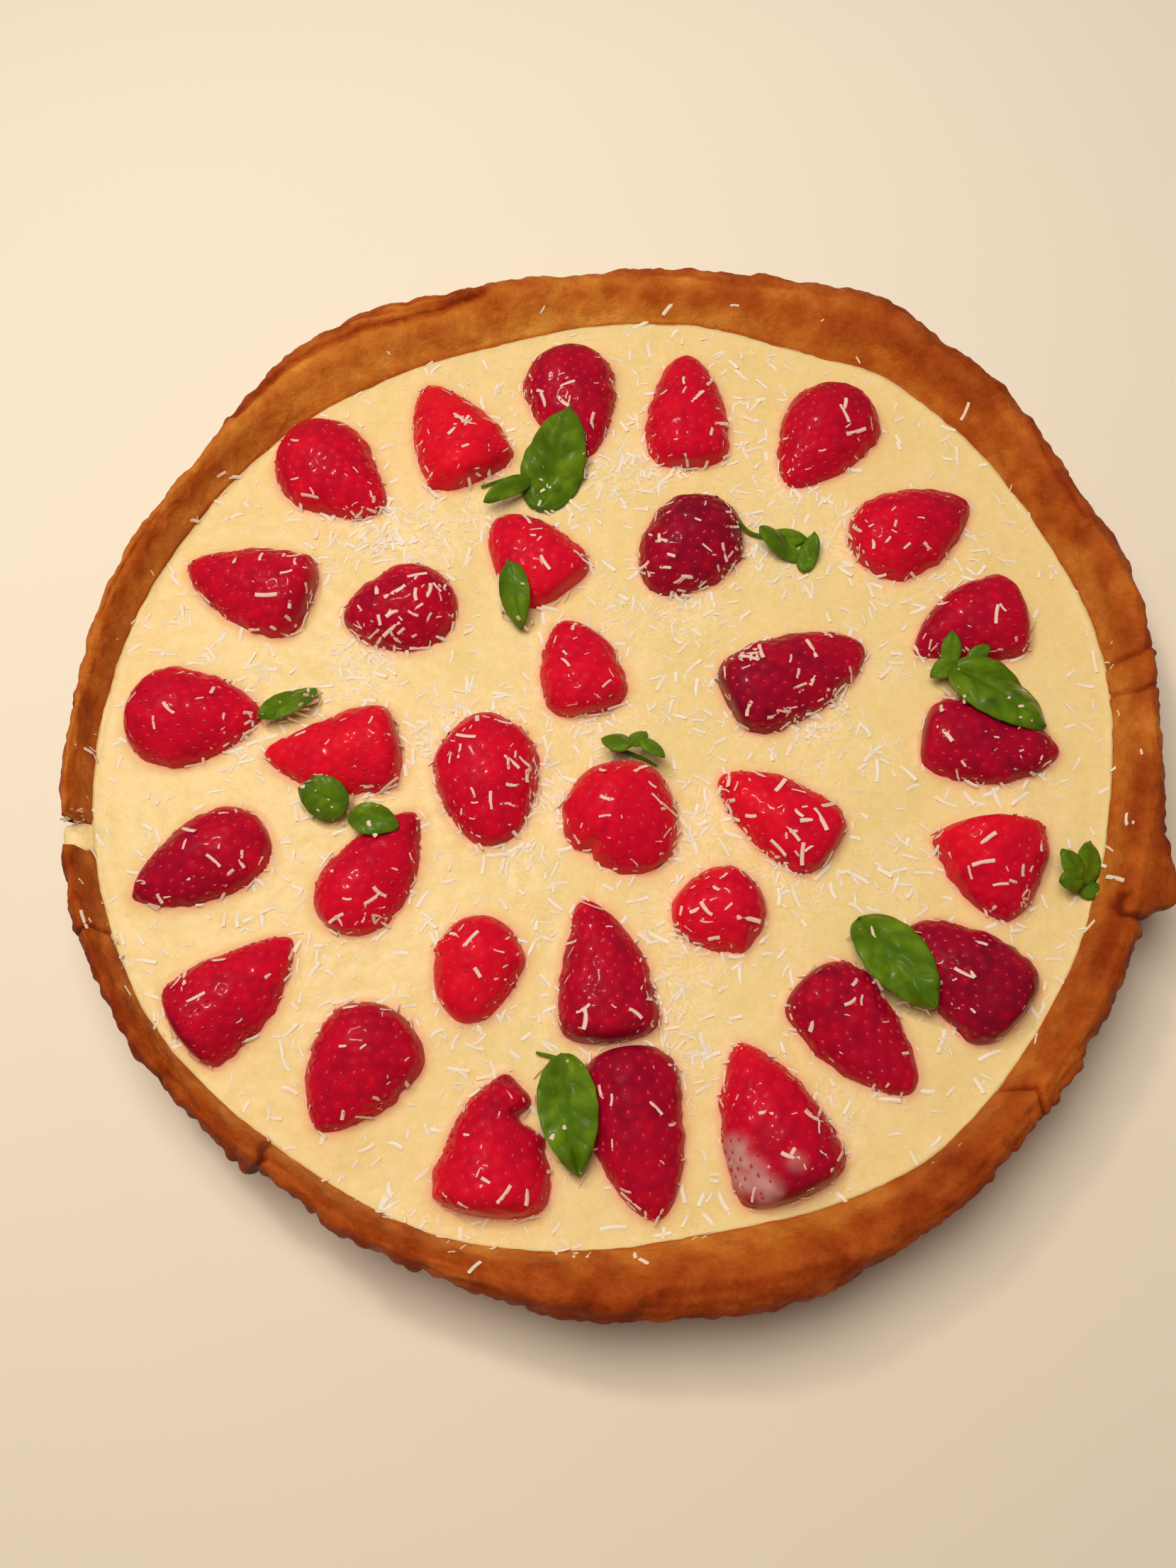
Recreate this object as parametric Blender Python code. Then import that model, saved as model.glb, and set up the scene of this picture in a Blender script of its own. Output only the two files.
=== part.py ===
"""Strawberry tart, 28 cm.

A hand-pressed shortcrust case from a fluted tin, filled level with pale custard cream. Thirty-two
strawberry halves lie cut side down on the cream, with basil leaves tucked against them.

Sizes below are in millimetres and angles in degrees. The origin is the middle of the flat base, +Z is
up, +Y points away from the side that the tart is looked at from, and 0 degrees is +X.
"""

import math

import bmesh
import bpy
import numpy as np
from mathutils import Vector

METRE = 1000.0
GAP = 0.3                    # clearance between pieces that lie on or in each other

# --- the case -------------------------------------------------------------------------------------
BASE_RADIUS = 128.5          # flat underside, which is the tin's loose bottom
BASE_CHAMFER = 1.5
WALL_TOP_RADIUS = 136.5      # the tin's fluted wall leans out to here
WALL_TOP = 23.5
FLUTES = 188
FLUTE_DEPTH = 1.0
EDGE_HEIGHT = 28.5           # widest line of the rim, where the dough bulges over the tin
UNDER_EDGE_DROP = 3.6        # the dough's underside, below its widest line
UNDER_EDGE_REACH = 0.7       # and how much of the way out from the wall it has come there
CREST_HEIGHT = 32.6
FLOOR_THICKNESS = 4.0
FLOOR_RADIUS = 121.0

# Reach of the rim's outer edge by angle: pressed by hand, so wide where dough was left over.
RIM_EDGE = {0: 139.5, 10: 141, 22: 142, 29: 144, 37: 148, 44: 148, 50: 151.5, 57: 150, 67: 146,
            77: 143.5, 98: 143, 107: 145.5, 121: 148, 129: 142.5, 137: 139, 157: 140, 168: 138.5,
            190: 140, 210: 139, 222: 137.5, 229: 136, 237: 138, 250: 139.5, 263: 143, 270: 143,
            278: 145, 290: 143.5, 302: 140.5, 322: 138, 348: 137.5}

# Where the cream meets the case, by angle.
CREAM_EDGE = {0: 128.5, 22: 129, 36: 131, 48: 132.5, 60: 129, 72: 129.5, 97: 126, 112: 127.5,
              128: 130, 156: 132, 172: 133, 204: 133.5, 216: 131.5, 228: 129.5, 246: 130, 260: 127.5,
              274: 125.5, 286: 127.5, 298: 129.5, 312: 127.5, 330: 126, 346: 126}

# Section of the rim: share of the way in from its outer edge to the cream, and drop below the crest.
OUTER_SHOULDER = (0.16, 0.7)
CREST = (0.38, 0.0)
INNER_SLOPE = (0.66, 2.5)

# Waves in the crest where fingers pressed it: how many round the rim, height, and start in radians.
CREST_WAVES = [(3, 0.7, 1.0), (8, 0.5, 0.0), (17, 0.3, 0.0)]
EDGE_WAVES = 11
EDGE_WAVE_HEIGHT = 0.5

# Tongues of dough that stand out from the rim: start, peak and end angle, and reach at the peak.
RIM_FLAPS = [
    (-17, -26.5, -29.5, 6.0),
    (8, 14.5, 18, 1.5),
    (219, 226, 228.5, 2.0),
    (109, 113, 115, 1.0),
]

# One break in the rim, which the cream has run into.
BREAK_ANGLE = 184.7
BREAK_WIDTH = 8.5
BREAK_FLOOR = 20.6
BREAK_INNER = 118            # the break is cut from here, inside the rim,
BREAK_OUTER = 160            # to here, outside it,
BREAK_TOP = 45               # and up to here

# --- the filling ----------------------------------------------------------------------------------
CREAM_TOP = 22.6
RUN_INNER = 122              # the run of cream through the break, from inside the filling
RUN_OUTER = 140.8            # to how far it has come out
RUN_BULGE = 0.5              # its end leans out by this much
RUN_CREST = 1.5              # its highest place above the cream, just inside its end
RUN_CREST_INSET = 3.0
RUN_ROOT = (8.0, 0.6)        # where it leaves the filling: radius past its start, height above cream

# --- the strawberry halves ------------------------------------------------------------------------
# Outline of each cut: where it is widest (0 at the tip, 1 at the stalk end), how fast the tip opens
# (small is blunt), and how square the stalk end is.
CUTS = {
    "heart": (0.68, 0.66, 2.0),
    "plump": (0.62, 0.50, 1.8),
    "wedge": (0.84, 0.70, 2.3),
    "block": (0.72, 0.52, 3.0),
    "point": (0.76, 1.10, 3.5),
}
DOME = 0.37                  # height of a half against its width

# x, y, heading of the tip, length, width, cut, sideways bend of the tip
STRAWBERRIES = [
    (2.5, 102, -84, 37, 26, "heart", 0.0),
    (33.5, 94.5, 83, 37, 23, "block", 0.0),
    (-33, 97, 110, 36, 26, "wedge", 0.0),
    (69, 80, -130, 36, 26, "heart", 0.0),
    (-68, 88.5, -66, 37, 27, "plump", 0.5),
    (88, 48, 20, 35, 26, "heart", 0.0),
    (28, 51, -134, 33, 27, "plump", 0.0),
    (-14.5, 54.5, 123, 30, 23, "block", 0.0),
    (-91, 54.5, 158, 37, 26, "heart", -0.2),
    (-50.5, 42, -160, 30, 26, "plump", -0.4),
    (96.5, 18, -175, 31, 24, "wedge", 0.5),
    (-5, 19.5, 94, 28, 22, "block", 0.2),
    (50, 9.5, 17, 39, 25, "block", 0.0),
    (-107, 18, -15, 36, 28, "heart", 0.3),
    (95, -17, -20, 34, 22, "block", 0.2),
    (-71, 2.5, -175, 35, 24, "wedge", -0.4),
    (-32, -9, -90, 36, 27, "plump", 0.0),
    (1, -24, -65, 31, 29, "plump", 0.0),
    (39, -28, 137, 34, 21, "block", 0.0),
    (-62, -30, 46, 36, 22, "heart", 0.2),
    (-106, -22, -158, 37, 23, "heart", 0.0),
    (89.5, -49.5, -92, 26, 28, "wedge", 0.0),
    (21, -51, -175, 23, 22, "plump", 0.0),
    (-8.5, -62, 88, 36, 24, "wedge", 0.3),
    (-39, -58, -109, 27, 22, "plump", 0.0),
    (-97, -56, 31, 35, 25, "wedge", 0.3),
    (49, -85, -57, 36, 22, "block", 0.0),
    (-69.5, -79, -128, 33, 27, "heart", 0.0),
    (25, -102, 103, 38, 27, "point", 0.0),
    (-38, -100, 77, 33, 27, "point", 0.0),
    (78, -75.5, -103, 31, 28, "plump", 0.0),
    (-5.5, -101.5, -88, 40, 23, "heart", 0.1),
]

# --- the basil leaves -----------------------------------------------------------------------------
LEAF_THICKNESS = 0.8
LEAF_FOLD = 0.05             # height of the middle rib over the edges, against the width
LEAF_FULLNESS = (0.85, 0.75)  # where a leaf is widest, and how blunt its ends are
LEAF_CLEARANCE = 0.9         # a leaf's underside above the highest thing near it
LEAF_STIFFNESS = 0.03        # how fast a leaf drops away from what holds it up, per mm
LEAF_REACH = 14              # how far from its middle a leaf can be held up
LEAF_SPACING = 2             # spacing of the places looked at for that

# x and y of the stalk end, x and y of the point, width
LEAVES = [
    (-11, 68, 1, 96, 17),
    (54, -57, 67, -82, 15),
    (-21, -82, -20, -110, 14),
    (89, 5, 108, -15, 16),
    (-67, -13, -79, -7, 10),
    (-67, -15, -55, -21, 9),
    (-89, 15, -74, 22, 7),
    (-20, 49, -19, 32, 8),
]


# --- helpers --------------------------------------------------------------------------------------
def material(name, colour, roughness):
    """A plain finish from an sRGB hex colour."""
    channels = [int(colour[i:i + 2], 16) / 255 for i in (0, 2, 4)]
    linear = [c / 12.92 if c <= 0.04045 else ((c + 0.055) / 1.055) ** 2.4 for c in channels]
    finish = bpy.data.materials.new(name)
    finish.use_nodes = True
    shader = finish.node_tree.nodes["Principled BSDF"]
    shader.inputs["Base Color"].default_value = (*linear, 1.0)
    shader.inputs["Roughness"].default_value = roughness
    shader.inputs["Metallic"].default_value = 0.0
    return finish


def add_piece(name, mesh_tools, finish, sharp_angle=40):
    """Turn a bmesh in millimetres into a shaded object in metres."""
    bmesh.ops.scale(mesh_tools, vec=Vector((1, 1, 1)) / METRE, verts=mesh_tools.verts)
    mesh = bpy.data.meshes.new(name)
    mesh_tools.to_mesh(mesh)
    mesh_tools.free()
    mesh.materials.append(finish)
    mesh.shade_smooth()
    mesh.set_sharp_from_angle(angle=math.radians(sharp_angle))
    piece = bpy.data.objects.new(name, mesh)
    bpy.context.scene.collection.objects.link(piece)
    return piece


def cut_or_join(piece, tool, operation):
    """Cut a tool out of a piece, or join it on, and keep the tool only as a hidden guide."""
    tool.hide_render = True
    tool.display_type = "WIRE"
    boolean = piece.modifiers.new(tool.name, "BOOLEAN")
    boolean.operation = operation
    boolean.solver = "EXACT"
    boolean.object = tool


def around(table, angle):
    """Smooth value of a table of angles at any angle, closed round the circle."""
    marks = sorted(table)
    angle %= 360
    after = next((i for i, mark in enumerate(marks) if mark > angle), 0)
    pick = [marks[(after + shift) % len(marks)] for shift in (-2, -1, 0, 1)]
    span = (pick[2] - pick[1]) % 360
    before_span = (pick[1] - pick[0]) % 360
    after_span = (pick[3] - pick[2]) % 360
    low, high = table[pick[1]], table[pick[2]]
    slope_in = (high - table[pick[0]]) / (before_span + span) * span
    slope_out = (table[pick[3]] - low) / (span + after_span) * span
    t = ((angle - pick[1]) % 360) / span
    return (low * (2 * t ** 3 - 3 * t ** 2 + 1) + slope_in * (t ** 3 - 2 * t ** 2 + t)
            + high * (3 * t ** 2 - 2 * t ** 3) + slope_out * (t ** 3 - t ** 2))


def turn_from(angle, start):
    """Signed turn from a start angle, between -180 and 180."""
    return (angle - start + 180) % 360 - 180


def ring(mesh_tools, count, point):
    """A closed ring of vertices, where point gives radius and height at an angle."""
    vertices = []
    for i in range(count):
        angle = 360.0 * i / count
        radius, height = point(angle, i)
        turn = math.radians(angle)
        vertices.append(mesh_tools.verts.new((radius * math.cos(turn), radius * math.sin(turn), height)))
    return vertices


def stitch(mesh_tools, first, second):
    """Triangles between two rings, whose counts may differ by a whole factor."""
    steps = max(len(first), len(second))
    for i in range(steps):
        a, b = first[i * len(first) // steps], second[i * len(second) // steps]
        next_a = first[(i + 1) * len(first) // steps % len(first)]
        next_b = second[(i + 1) * len(second) // steps % len(second)]
        if next_a is not a:
            mesh_tools.faces.new((a, next_a, next_b))
        if next_b is not b:
            mesh_tools.faces.new((a, next_b, b))


# --- the case -------------------------------------------------------------------------------------
def flap_reach(angle):
    """How far a tongue of dough stands out at an angle: it grows to its peak and drops to its end."""
    reach = 0.0
    for start, peak, end, height in RIM_FLAPS:
        whole = turn_from(peak, start)
        t = turn_from(angle, start) / whole
        if t > 1:
            t = 1 - turn_from(angle, peak) / turn_from(end, peak)
        if 0 < t <= 1:
            reach += height * t * t * (3 - 2 * t)
    return reach


def rim_edge(angle):
    return around(RIM_EDGE, angle) + flap_reach(angle)


def crest_height(angle):
    """Top of the rim, which rises and falls a little where fingers pressed it."""
    turn = math.radians(angle)
    waves = [height * math.sin(count * turn + start) for count, height, start in CREST_WAVES]
    return CREST_HEIGHT + sum(waves)


def rim_point(angle, section):
    """Radius and height on the rim, at a place in its section."""
    share, drop = section
    outer, inner = around(RIM_EDGE, angle), around(CREAM_EDGE, angle)
    return outer + (inner - outer) * share, crest_height(angle) - drop


def wall_radius(height):
    return BASE_RADIUS + (WALL_TOP_RADIUS - BASE_RADIUS) * height / WALL_TOP


def make_crust(finish):
    mesh_tools = bmesh.new()
    half = FLUTES // 2

    def flute(height):
        return lambda angle, i: (wall_radius(height) - FLUTE_DEPTH * (i % 2), height)

    def under_edge(angle, i):
        wall_share = (1 - UNDER_EDGE_REACH) * WALL_TOP_RADIUS
        return wall_share + UNDER_EDGE_REACH * rim_edge(angle), EDGE_HEIGHT - UNDER_EDGE_DROP

    def edge(angle, i):
        wave = EDGE_WAVE_HEIGHT * math.sin(math.radians(EDGE_WAVES * angle))
        return rim_edge(angle), EDGE_HEIGHT + wave

    base = ring(mesh_tools, half, lambda angle, i: (BASE_RADIUS - BASE_CHAMFER, 0))
    flutes_low = ring(mesh_tools, 2 * FLUTES, flute(BASE_CHAMFER))
    flutes_high = ring(mesh_tools, 2 * FLUTES, flute(WALL_TOP))
    floor = ring(mesh_tools, half, lambda angle, i: (FLOOR_RADIUS, FLOOR_THICKNESS))
    rings = [
        base,
        flutes_low,
        flutes_high,
        ring(mesh_tools, FLUTES, under_edge),
        ring(mesh_tools, FLUTES, edge),
        ring(mesh_tools, FLUTES, lambda angle, i: rim_point(angle, OUTER_SHOULDER)),
        ring(mesh_tools, FLUTES, lambda angle, i: rim_point(angle, CREST)),
        ring(mesh_tools, half, lambda angle, i: rim_point(angle, INNER_SLOPE)),
        ring(mesh_tools, half, lambda angle, i: (around(CREAM_EDGE, angle), CREAM_TOP)),
        floor,
    ]
    for lower, upper in zip(rings, rings[1:]):
        stitch(mesh_tools, lower, upper)
    mesh_tools.faces.new(reversed(base))
    mesh_tools.faces.new(floor)
    crust = add_piece("crust", mesh_tools, finish)
    outline = [
        (BREAK_INNER, BREAK_FLOOR),
        (BREAK_OUTER, BREAK_FLOOR),
        (BREAK_OUTER, BREAK_TOP),
        (BREAK_INNER, BREAK_TOP),
    ]
    cut_or_join(crust, add_break_block("break_cutter", BREAK_WIDTH, outline, finish), "DIFFERENCE")
    return crust


def add_break_block(name, width, outline, finish):
    """A block across the rim at the break: an outline of radius and height, as wide as given."""
    mesh_tools = bmesh.new()
    turn = math.radians(BREAK_ANGLE)
    out = Vector((math.cos(turn), math.sin(turn), 0))
    side = Vector((-out.y, out.x, 0))
    corners = [mesh_tools.verts.new(out * radius - side * width / 2 + Vector((0, 0, height)))
               for radius, height in outline]
    face = mesh_tools.faces.new(corners)
    pushed = bmesh.ops.extrude_face_region(mesh_tools, geom=[face])
    moved = [item for item in pushed["geom"] if isinstance(item, bmesh.types.BMVert)]
    bmesh.ops.translate(mesh_tools, vec=side * width, verts=moved)
    bmesh.ops.recalc_face_normals(mesh_tools, faces=mesh_tools.faces)
    return add_piece(name, mesh_tools, finish)


# --- the filling ----------------------------------------------------------------------------------
def make_cream(finish):
    mesh_tools = bmesh.new()
    half = FLUTES // 2
    bottom = ring(mesh_tools, half, lambda angle, i: (FLOOR_RADIUS - GAP, FLOOR_THICKNESS + GAP))
    top = ring(mesh_tools, half, lambda angle, i: (around(CREAM_EDGE, angle) - GAP, CREAM_TOP))
    stitch(mesh_tools, top, bottom)          # from the top down, so its faces split as the case's do
    mesh_tools.faces.new(reversed(top))
    mesh_tools.faces.new(bottom)
    bmesh.ops.recalc_face_normals(mesh_tools, faces=mesh_tools.faces)
    cream = add_piece("cream", mesh_tools, finish)
    outline = [
        (RUN_INNER, BREAK_FLOOR + GAP),
        (RUN_OUTER, BREAK_FLOOR + GAP),
        (RUN_OUTER + RUN_BULGE, CREAM_TOP),
        (RUN_OUTER - RUN_CREST_INSET, CREAM_TOP + RUN_CREST),
        (RUN_INNER + RUN_ROOT[0], CREAM_TOP + RUN_ROOT[1]),
        (RUN_INNER, CREAM_TOP - 1),
    ]
    cut_or_join(cream, add_break_block("run_of_cream", BREAK_WIDTH - 2 * GAP, outline, finish), "UNION")
    return cream


# --- the strawberry halves ------------------------------------------------------------------------
def girth(along, cut):
    """Half width of a cut, as a share of its most, from the tip at 0 to the stalk end at 1."""
    widest, opening, squareness = CUTS[cut]
    if along < widest:
        return math.sin(math.pi / 2 * along / widest) ** opening
    return (1 - ((along - widest) / (1 - widest)) ** squareness) ** (1 / squareness)


def bend_at(along, length, bend):
    """Sideways shift of a strawberry's middle line towards the tip."""
    return bend * length * max(0.0, 0.55 - along) ** 2


def make_strawberry(name, row, finish, stations=9, steps=6):
    """Half a strawberry, tip towards its own +X, cut face down at its own zero height."""
    x, y, heading, length, width, cut, bend = row
    mesh_tools = bmesh.new()

    def spot(along, lift):
        share = girth(along, cut)
        across = share * width / 2 * math.cos(lift)
        height = DOME * width * share ** 0.8 * math.sin(lift)
        return length * (0.5 - along), bend_at(along, length, bend) + across, height

    arches = []
    for i in range(1, stations):
        along = 0.5 - 0.5 * math.cos(math.pi * i / stations)
        lifts = [math.pi * k / steps for k in range(steps + 1)]
        arches.append([mesh_tools.verts.new(spot(along, lift)) for lift in lifts])
    tip = mesh_tools.verts.new(spot(0.0, 0.0))
    stalk_end = mesh_tools.verts.new(spot(1.0, 0.0))
    for first, second in zip(arches, arches[1:]):
        for k in range(steps):
            mesh_tools.faces.new((first[k], first[k + 1], second[k + 1], second[k]))
        mesh_tools.faces.new((first[0], second[0], second[-1], first[-1]))
    for k in range(steps):
        mesh_tools.faces.new((tip, arches[0][k + 1], arches[0][k]))
        mesh_tools.faces.new((stalk_end, arches[-1][k], arches[-1][k + 1]))
    mesh_tools.faces.new((tip, arches[0][0], arches[0][-1]))
    mesh_tools.faces.new((stalk_end, arches[-1][-1], arches[-1][0]))
    bmesh.ops.recalc_face_normals(mesh_tools, faces=mesh_tools.faces)
    berry = add_piece(name, mesh_tools, finish, sharp_angle=50)
    berry.location = Vector((x, y, CREAM_TOP + GAP)) / METRE
    berry.rotation_euler.z = math.radians(heading)
    return berry


# --- the basil leaves -----------------------------------------------------------------------------
def top_of_toppings(x, y):
    """Height of the cream or of the strawberry half that is under a point."""
    highest = CREAM_TOP
    for berry_x, berry_y, heading, length, width, cut, bend in STRAWBERRIES:
        turn = math.radians(heading)
        ahead = (x - berry_x) * math.cos(turn) + (y - berry_y) * math.sin(turn)
        aside = (y - berry_y) * math.cos(turn) - (x - berry_x) * math.sin(turn)
        along = 0.5 - ahead / length
        if not 0 < along < 1:
            continue
        share = girth(along, cut)
        across = (aside - bend_at(along, length, bend)) / (share * width / 2)
        if abs(across) < 1:
            dome = DOME * width * share ** 0.8 * math.sqrt(1 - across ** 2)
            highest = max(highest, CREAM_TOP + GAP + dome)
    return highest


def make_leaf(name, row, finish, stations=6, lines=(-1, -0.5, 0, 0.5, 1)):
    """A leaf that arches over what it lies on, with its edges a little lower than its middle rib."""
    stalk, point, width = np.array(row[0:2]), np.array(row[2:4]), row[4]
    length = float(np.linalg.norm(point - stalk))
    ahead = (point - stalk) / length
    aside = np.array((-ahead[1], ahead[0]))
    middle = (stalk + point) / 2
    steps = np.arange(-LEAF_REACH, LEAF_REACH + LEAF_SPACING, LEAF_SPACING)
    held = [(middle + ahead * a + aside * b) for a in steps for b in steps]
    held_height = np.array([top_of_toppings(*spot) for spot in held])
    held = np.array(held)

    def spot(along, across):
        fullness, bluntness = LEAF_FULLNESS
        taper = math.sin(math.pi * along ** fullness) ** bluntness if 0 < along < 1 else 0.0
        place = stalk + ahead * length * along + aside * width / 2 * taper * across
        distance = ((held - place) ** 2).sum(axis=1)
        under = float((held_height - LEAF_STIFFNESS * distance).max())
        fold = LEAF_FOLD * width * (1 - abs(across))
        return (*place, max(under, CREAM_TOP) + LEAF_CLEARANCE + fold)

    mesh_tools = bmesh.new()
    rows = [[mesh_tools.verts.new(spot(i / stations, across)) for across in lines]
            for i in range(1, stations)]
    stalk_end = mesh_tools.verts.new(spot(0, 0))
    tip = mesh_tools.verts.new(spot(1, 0))
    for first, second in zip(rows, rows[1:]):
        for k in range(len(lines) - 1):
            mesh_tools.faces.new((first[k + 1], first[k], second[k], second[k + 1]))
    for k in range(len(lines) - 1):
        mesh_tools.faces.new((stalk_end, rows[0][k], rows[0][k + 1]))
        mesh_tools.faces.new((tip, rows[-1][k + 1], rows[-1][k]))
    leaf = add_piece(name, mesh_tools, finish)
    flip_if_down(leaf)
    thicken = leaf.modifiers.new("thickness", "SOLIDIFY")
    thicken.thickness = LEAF_THICKNESS / METRE
    thicken.offset = 1
    return leaf


def flip_if_down(leaf):
    """Turn a sheet's faces so that they all look up."""
    if leaf.data.polygons[0].normal.z < 0:
        leaf.data.flip_normals()


# --- the tart -------------------------------------------------------------------------------------
def main():
    for old in list(bpy.data.objects):
        bpy.data.objects.remove(old)

    make_crust(material("baked shortcrust", "B4672B", 0.7))
    make_cream(material("custard cream", "F3DC9E", 0.45))
    for number, row in enumerate(STRAWBERRIES, start=1):
        name = f"strawberry_{number:02d}"
        make_strawberry(name, row, material(name, "C0102C", 0.3))
    for number, row in enumerate(LEAVES, start=1):
        name = f"basil_leaf_{number:02d}"
        make_leaf(name, row, material(name, "3F7A25", 0.45))


main()
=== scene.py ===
"""Strawberry tart, 28 cm: the finished look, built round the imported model.

Sizes are in millimetres and angles in degrees, in the model's own frame: the origin is the middle of the
flat base, +Z is up and 0 degrees is +X. A piece is scaled to metres when its mesh is made.
"""

import math

import bpy
import numpy as np
from mathutils import Matrix, Vector, noise
from mathutils.bvhtree import BVHTree


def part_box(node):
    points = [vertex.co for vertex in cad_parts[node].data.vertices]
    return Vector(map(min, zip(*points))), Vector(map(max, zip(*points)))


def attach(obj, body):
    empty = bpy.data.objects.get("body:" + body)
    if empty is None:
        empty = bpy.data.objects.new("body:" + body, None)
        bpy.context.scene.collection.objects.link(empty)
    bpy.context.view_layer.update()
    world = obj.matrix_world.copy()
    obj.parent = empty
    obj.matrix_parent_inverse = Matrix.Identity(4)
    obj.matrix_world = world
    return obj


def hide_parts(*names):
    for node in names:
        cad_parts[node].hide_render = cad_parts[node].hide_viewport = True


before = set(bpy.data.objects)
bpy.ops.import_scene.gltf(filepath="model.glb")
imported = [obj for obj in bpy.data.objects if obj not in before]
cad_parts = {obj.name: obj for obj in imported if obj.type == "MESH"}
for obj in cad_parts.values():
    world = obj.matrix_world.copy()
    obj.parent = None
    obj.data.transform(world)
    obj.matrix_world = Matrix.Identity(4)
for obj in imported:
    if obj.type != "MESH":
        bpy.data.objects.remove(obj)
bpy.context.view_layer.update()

MM = 0.001
TINY, FAR_AWAY = 1e-12, 1e9  # to keep off zero, and to begin a search for the nearest

# --- the pastry case: the model's own driving sizes -----------------------------------------------
BASE_RADIUS = 128.5
BASE_CHAMFER = 1.5
WALL_TOP_RADIUS = 136.5
WALL_TOP = 23.5
FLUTES = 188
FLUTE_DEPTH = 1.0
EDGE_HEIGHT = 28.5
CREST_HEIGHT = 32.6
FLOOR_THICKNESS = 4.0
FLOOR_RADIUS = 121.0
# Radius of the outer edge, and of the cream, at angles round the rim
RIM_EDGE = {0: 139.5, 10: 141, 22: 142, 29: 144, 37: 148, 44: 148, 50: 151.5, 57: 150, 67: 146,
            77: 143.5, 98: 143, 107: 145.5, 121: 148, 129: 142.5, 137: 139, 157: 140, 168: 138.5,
            190: 140, 210: 139, 222: 137.5, 229: 136, 237: 138, 250: 139.5, 263: 143, 270: 143,
            278: 145, 290: 143.5, 302: 140.5, 322: 138, 348: 137.5}
CREAM_EDGE = {0: 128.5, 22: 129, 36: 131, 48: 132.5, 60: 129, 72: 129.5, 97: 126, 112: 127.5,
              128: 130, 156: 132, 172: 133, 204: 133.5, 216: 131.5, 228: 129.5, 246: 130, 260: 127.5,
              274: 125.5, 286: 127.5, 298: 129.5, 312: 127.5, 330: 126, 346: 126}
# Tongues of dough past the edge: start, peak and end angle, and how far out
RIM_FLAPS = [(-17, -26.5, -29.5, 6.0), (8, 14.5, 18, 1.5), (219, 226, 228.5, 2.0), (109, 113, 115, 1.0)]
BREAK_ANGLE = 184.7
BREAK_WIDTH = 8.5
BREAK_FLOOR = 20.6

# --- the cream ------------------------------------------------------------------------------------
CREAM_TOP = 22.6
CREAM_SPOKES = 752           # vertices round the outer part of its top, and a half to a sixteenth inside
LEVEL_RADIUS = 118.2         # its rings are round as far as this, then follow the case
JUICE_REACH = 0.9            # how far the berries have stained it
RUN_INNER = 130.5            # the run of cream in the break, from here
RUN_OUTER = 140.8            # to here

# --- the strawberry halves ------------------------------------------------------------------------
# For each cut: where along it a half is widest, how fast the tip opens, how square the stalk end is
CUTS = {
    "heart": (0.68, 0.66, 2.0),
    "plump": (0.62, 0.50, 1.8),
    "wedge": (0.84, 0.62, 2.3),
    "block": (0.72, 0.52, 3.0),
}
DOME = 0.37                  # height of a half, as a share of its width
SUNK = 1.0                   # how far a half has sunk into the cream

# For each half: heading of the tip, length, width, cut, bend, ripeness at the tip and at the stalk end.
# Ripeness 0 is bright scarlet and 1 is dark crimson.
STRAWBERRIES = [
    (-84, 37, 26, "heart", 0.0, 0.60, 0.70),
    (83, 37, 23, "block", 0.0, 0.40, 0.30),
    (110, 36, 26, "wedge", 0.0, 0.10, 0.15),
    (-130, 36, 26, "heart", 0.0, 0.45, 0.60),
    (-66, 37, 27, "plump", 0.5, 0.35, 0.45),
    (20, 35, 26, "heart", 0.0, 0.65, 0.25),
    (-134, 33, 27, "plump", 0.0, 0.75, 1.00),
    (123, 30, 23, "block", 0.0, 0.35, 0.20),
    (158, 37, 26, "wedge", -0.2, 0.45, 0.55),
    (-160, 30, 26, "plump", -0.4, 0.70, 0.55),
    (-175, 31, 24, "wedge", 0.5, 0.70, 0.55),
    (94, 28, 22, "block", 0.2, 0.35, 0.25),
    (17, 39, 25, "block", 0.0, 0.60, 0.90),
    (-15, 36, 28, "heart", 0.3, 0.35, 0.50),
    (-20, 34, 22, "block", 0.2, 0.80, 0.65),
    (-175, 35, 24, "wedge", -0.4, 0.15, 0.25),
    (-90, 36, 27, "plump", 0.0, 0.40, 0.35),
    (-65, 31, 29, "plump", 0.0, 0.40, 0.20),
    (137, 34, 21, "block", 0.0, 0.10, 0.35),
    (46, 36, 22, "heart", 0.2, 0.60, 0.25),
    (-158, 37, 23, "heart", 0.0, 0.85, 0.50),
    (-92, 26, 28, "wedge", 0.0, 0.45, 0.15),
    (-175, 23, 22, "plump", 0.0, 0.15, 0.40),
    (88, 36, 24, "wedge", 0.3, 0.55, 0.70),
    (-109, 27, 22, "plump", 0.0, 0.15, 0.30),
    (31, 35, 25, "wedge", 0.3, 0.35, 0.60),
    (-57, 36, 22, "block", 0.0, 0.55, 0.75),
    (-128, 33, 27, "heart", 0.0, 0.45, 0.60),
    (103, 38, 27, "wedge", 0.0, 0.20, 0.75),
    (77, 33, 27, "wedge", 0.0, 0.65, 0.20),
    (132, 33, 25, "block", 0.0, 0.80, 0.90),
    (-88, 40, 23, "block", 0.1, 0.50, 0.85),
]

# A bite or dent in one side of a half: strawberry, side (1 left, -1 right), place along it, depth, spread
BITES = [(30, -1, 0.30, 0.55, 0.07), (18, -1, 0.40, 0.12, 0.05), (28, 1, 0.55, 0.08, 0.06)]

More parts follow.
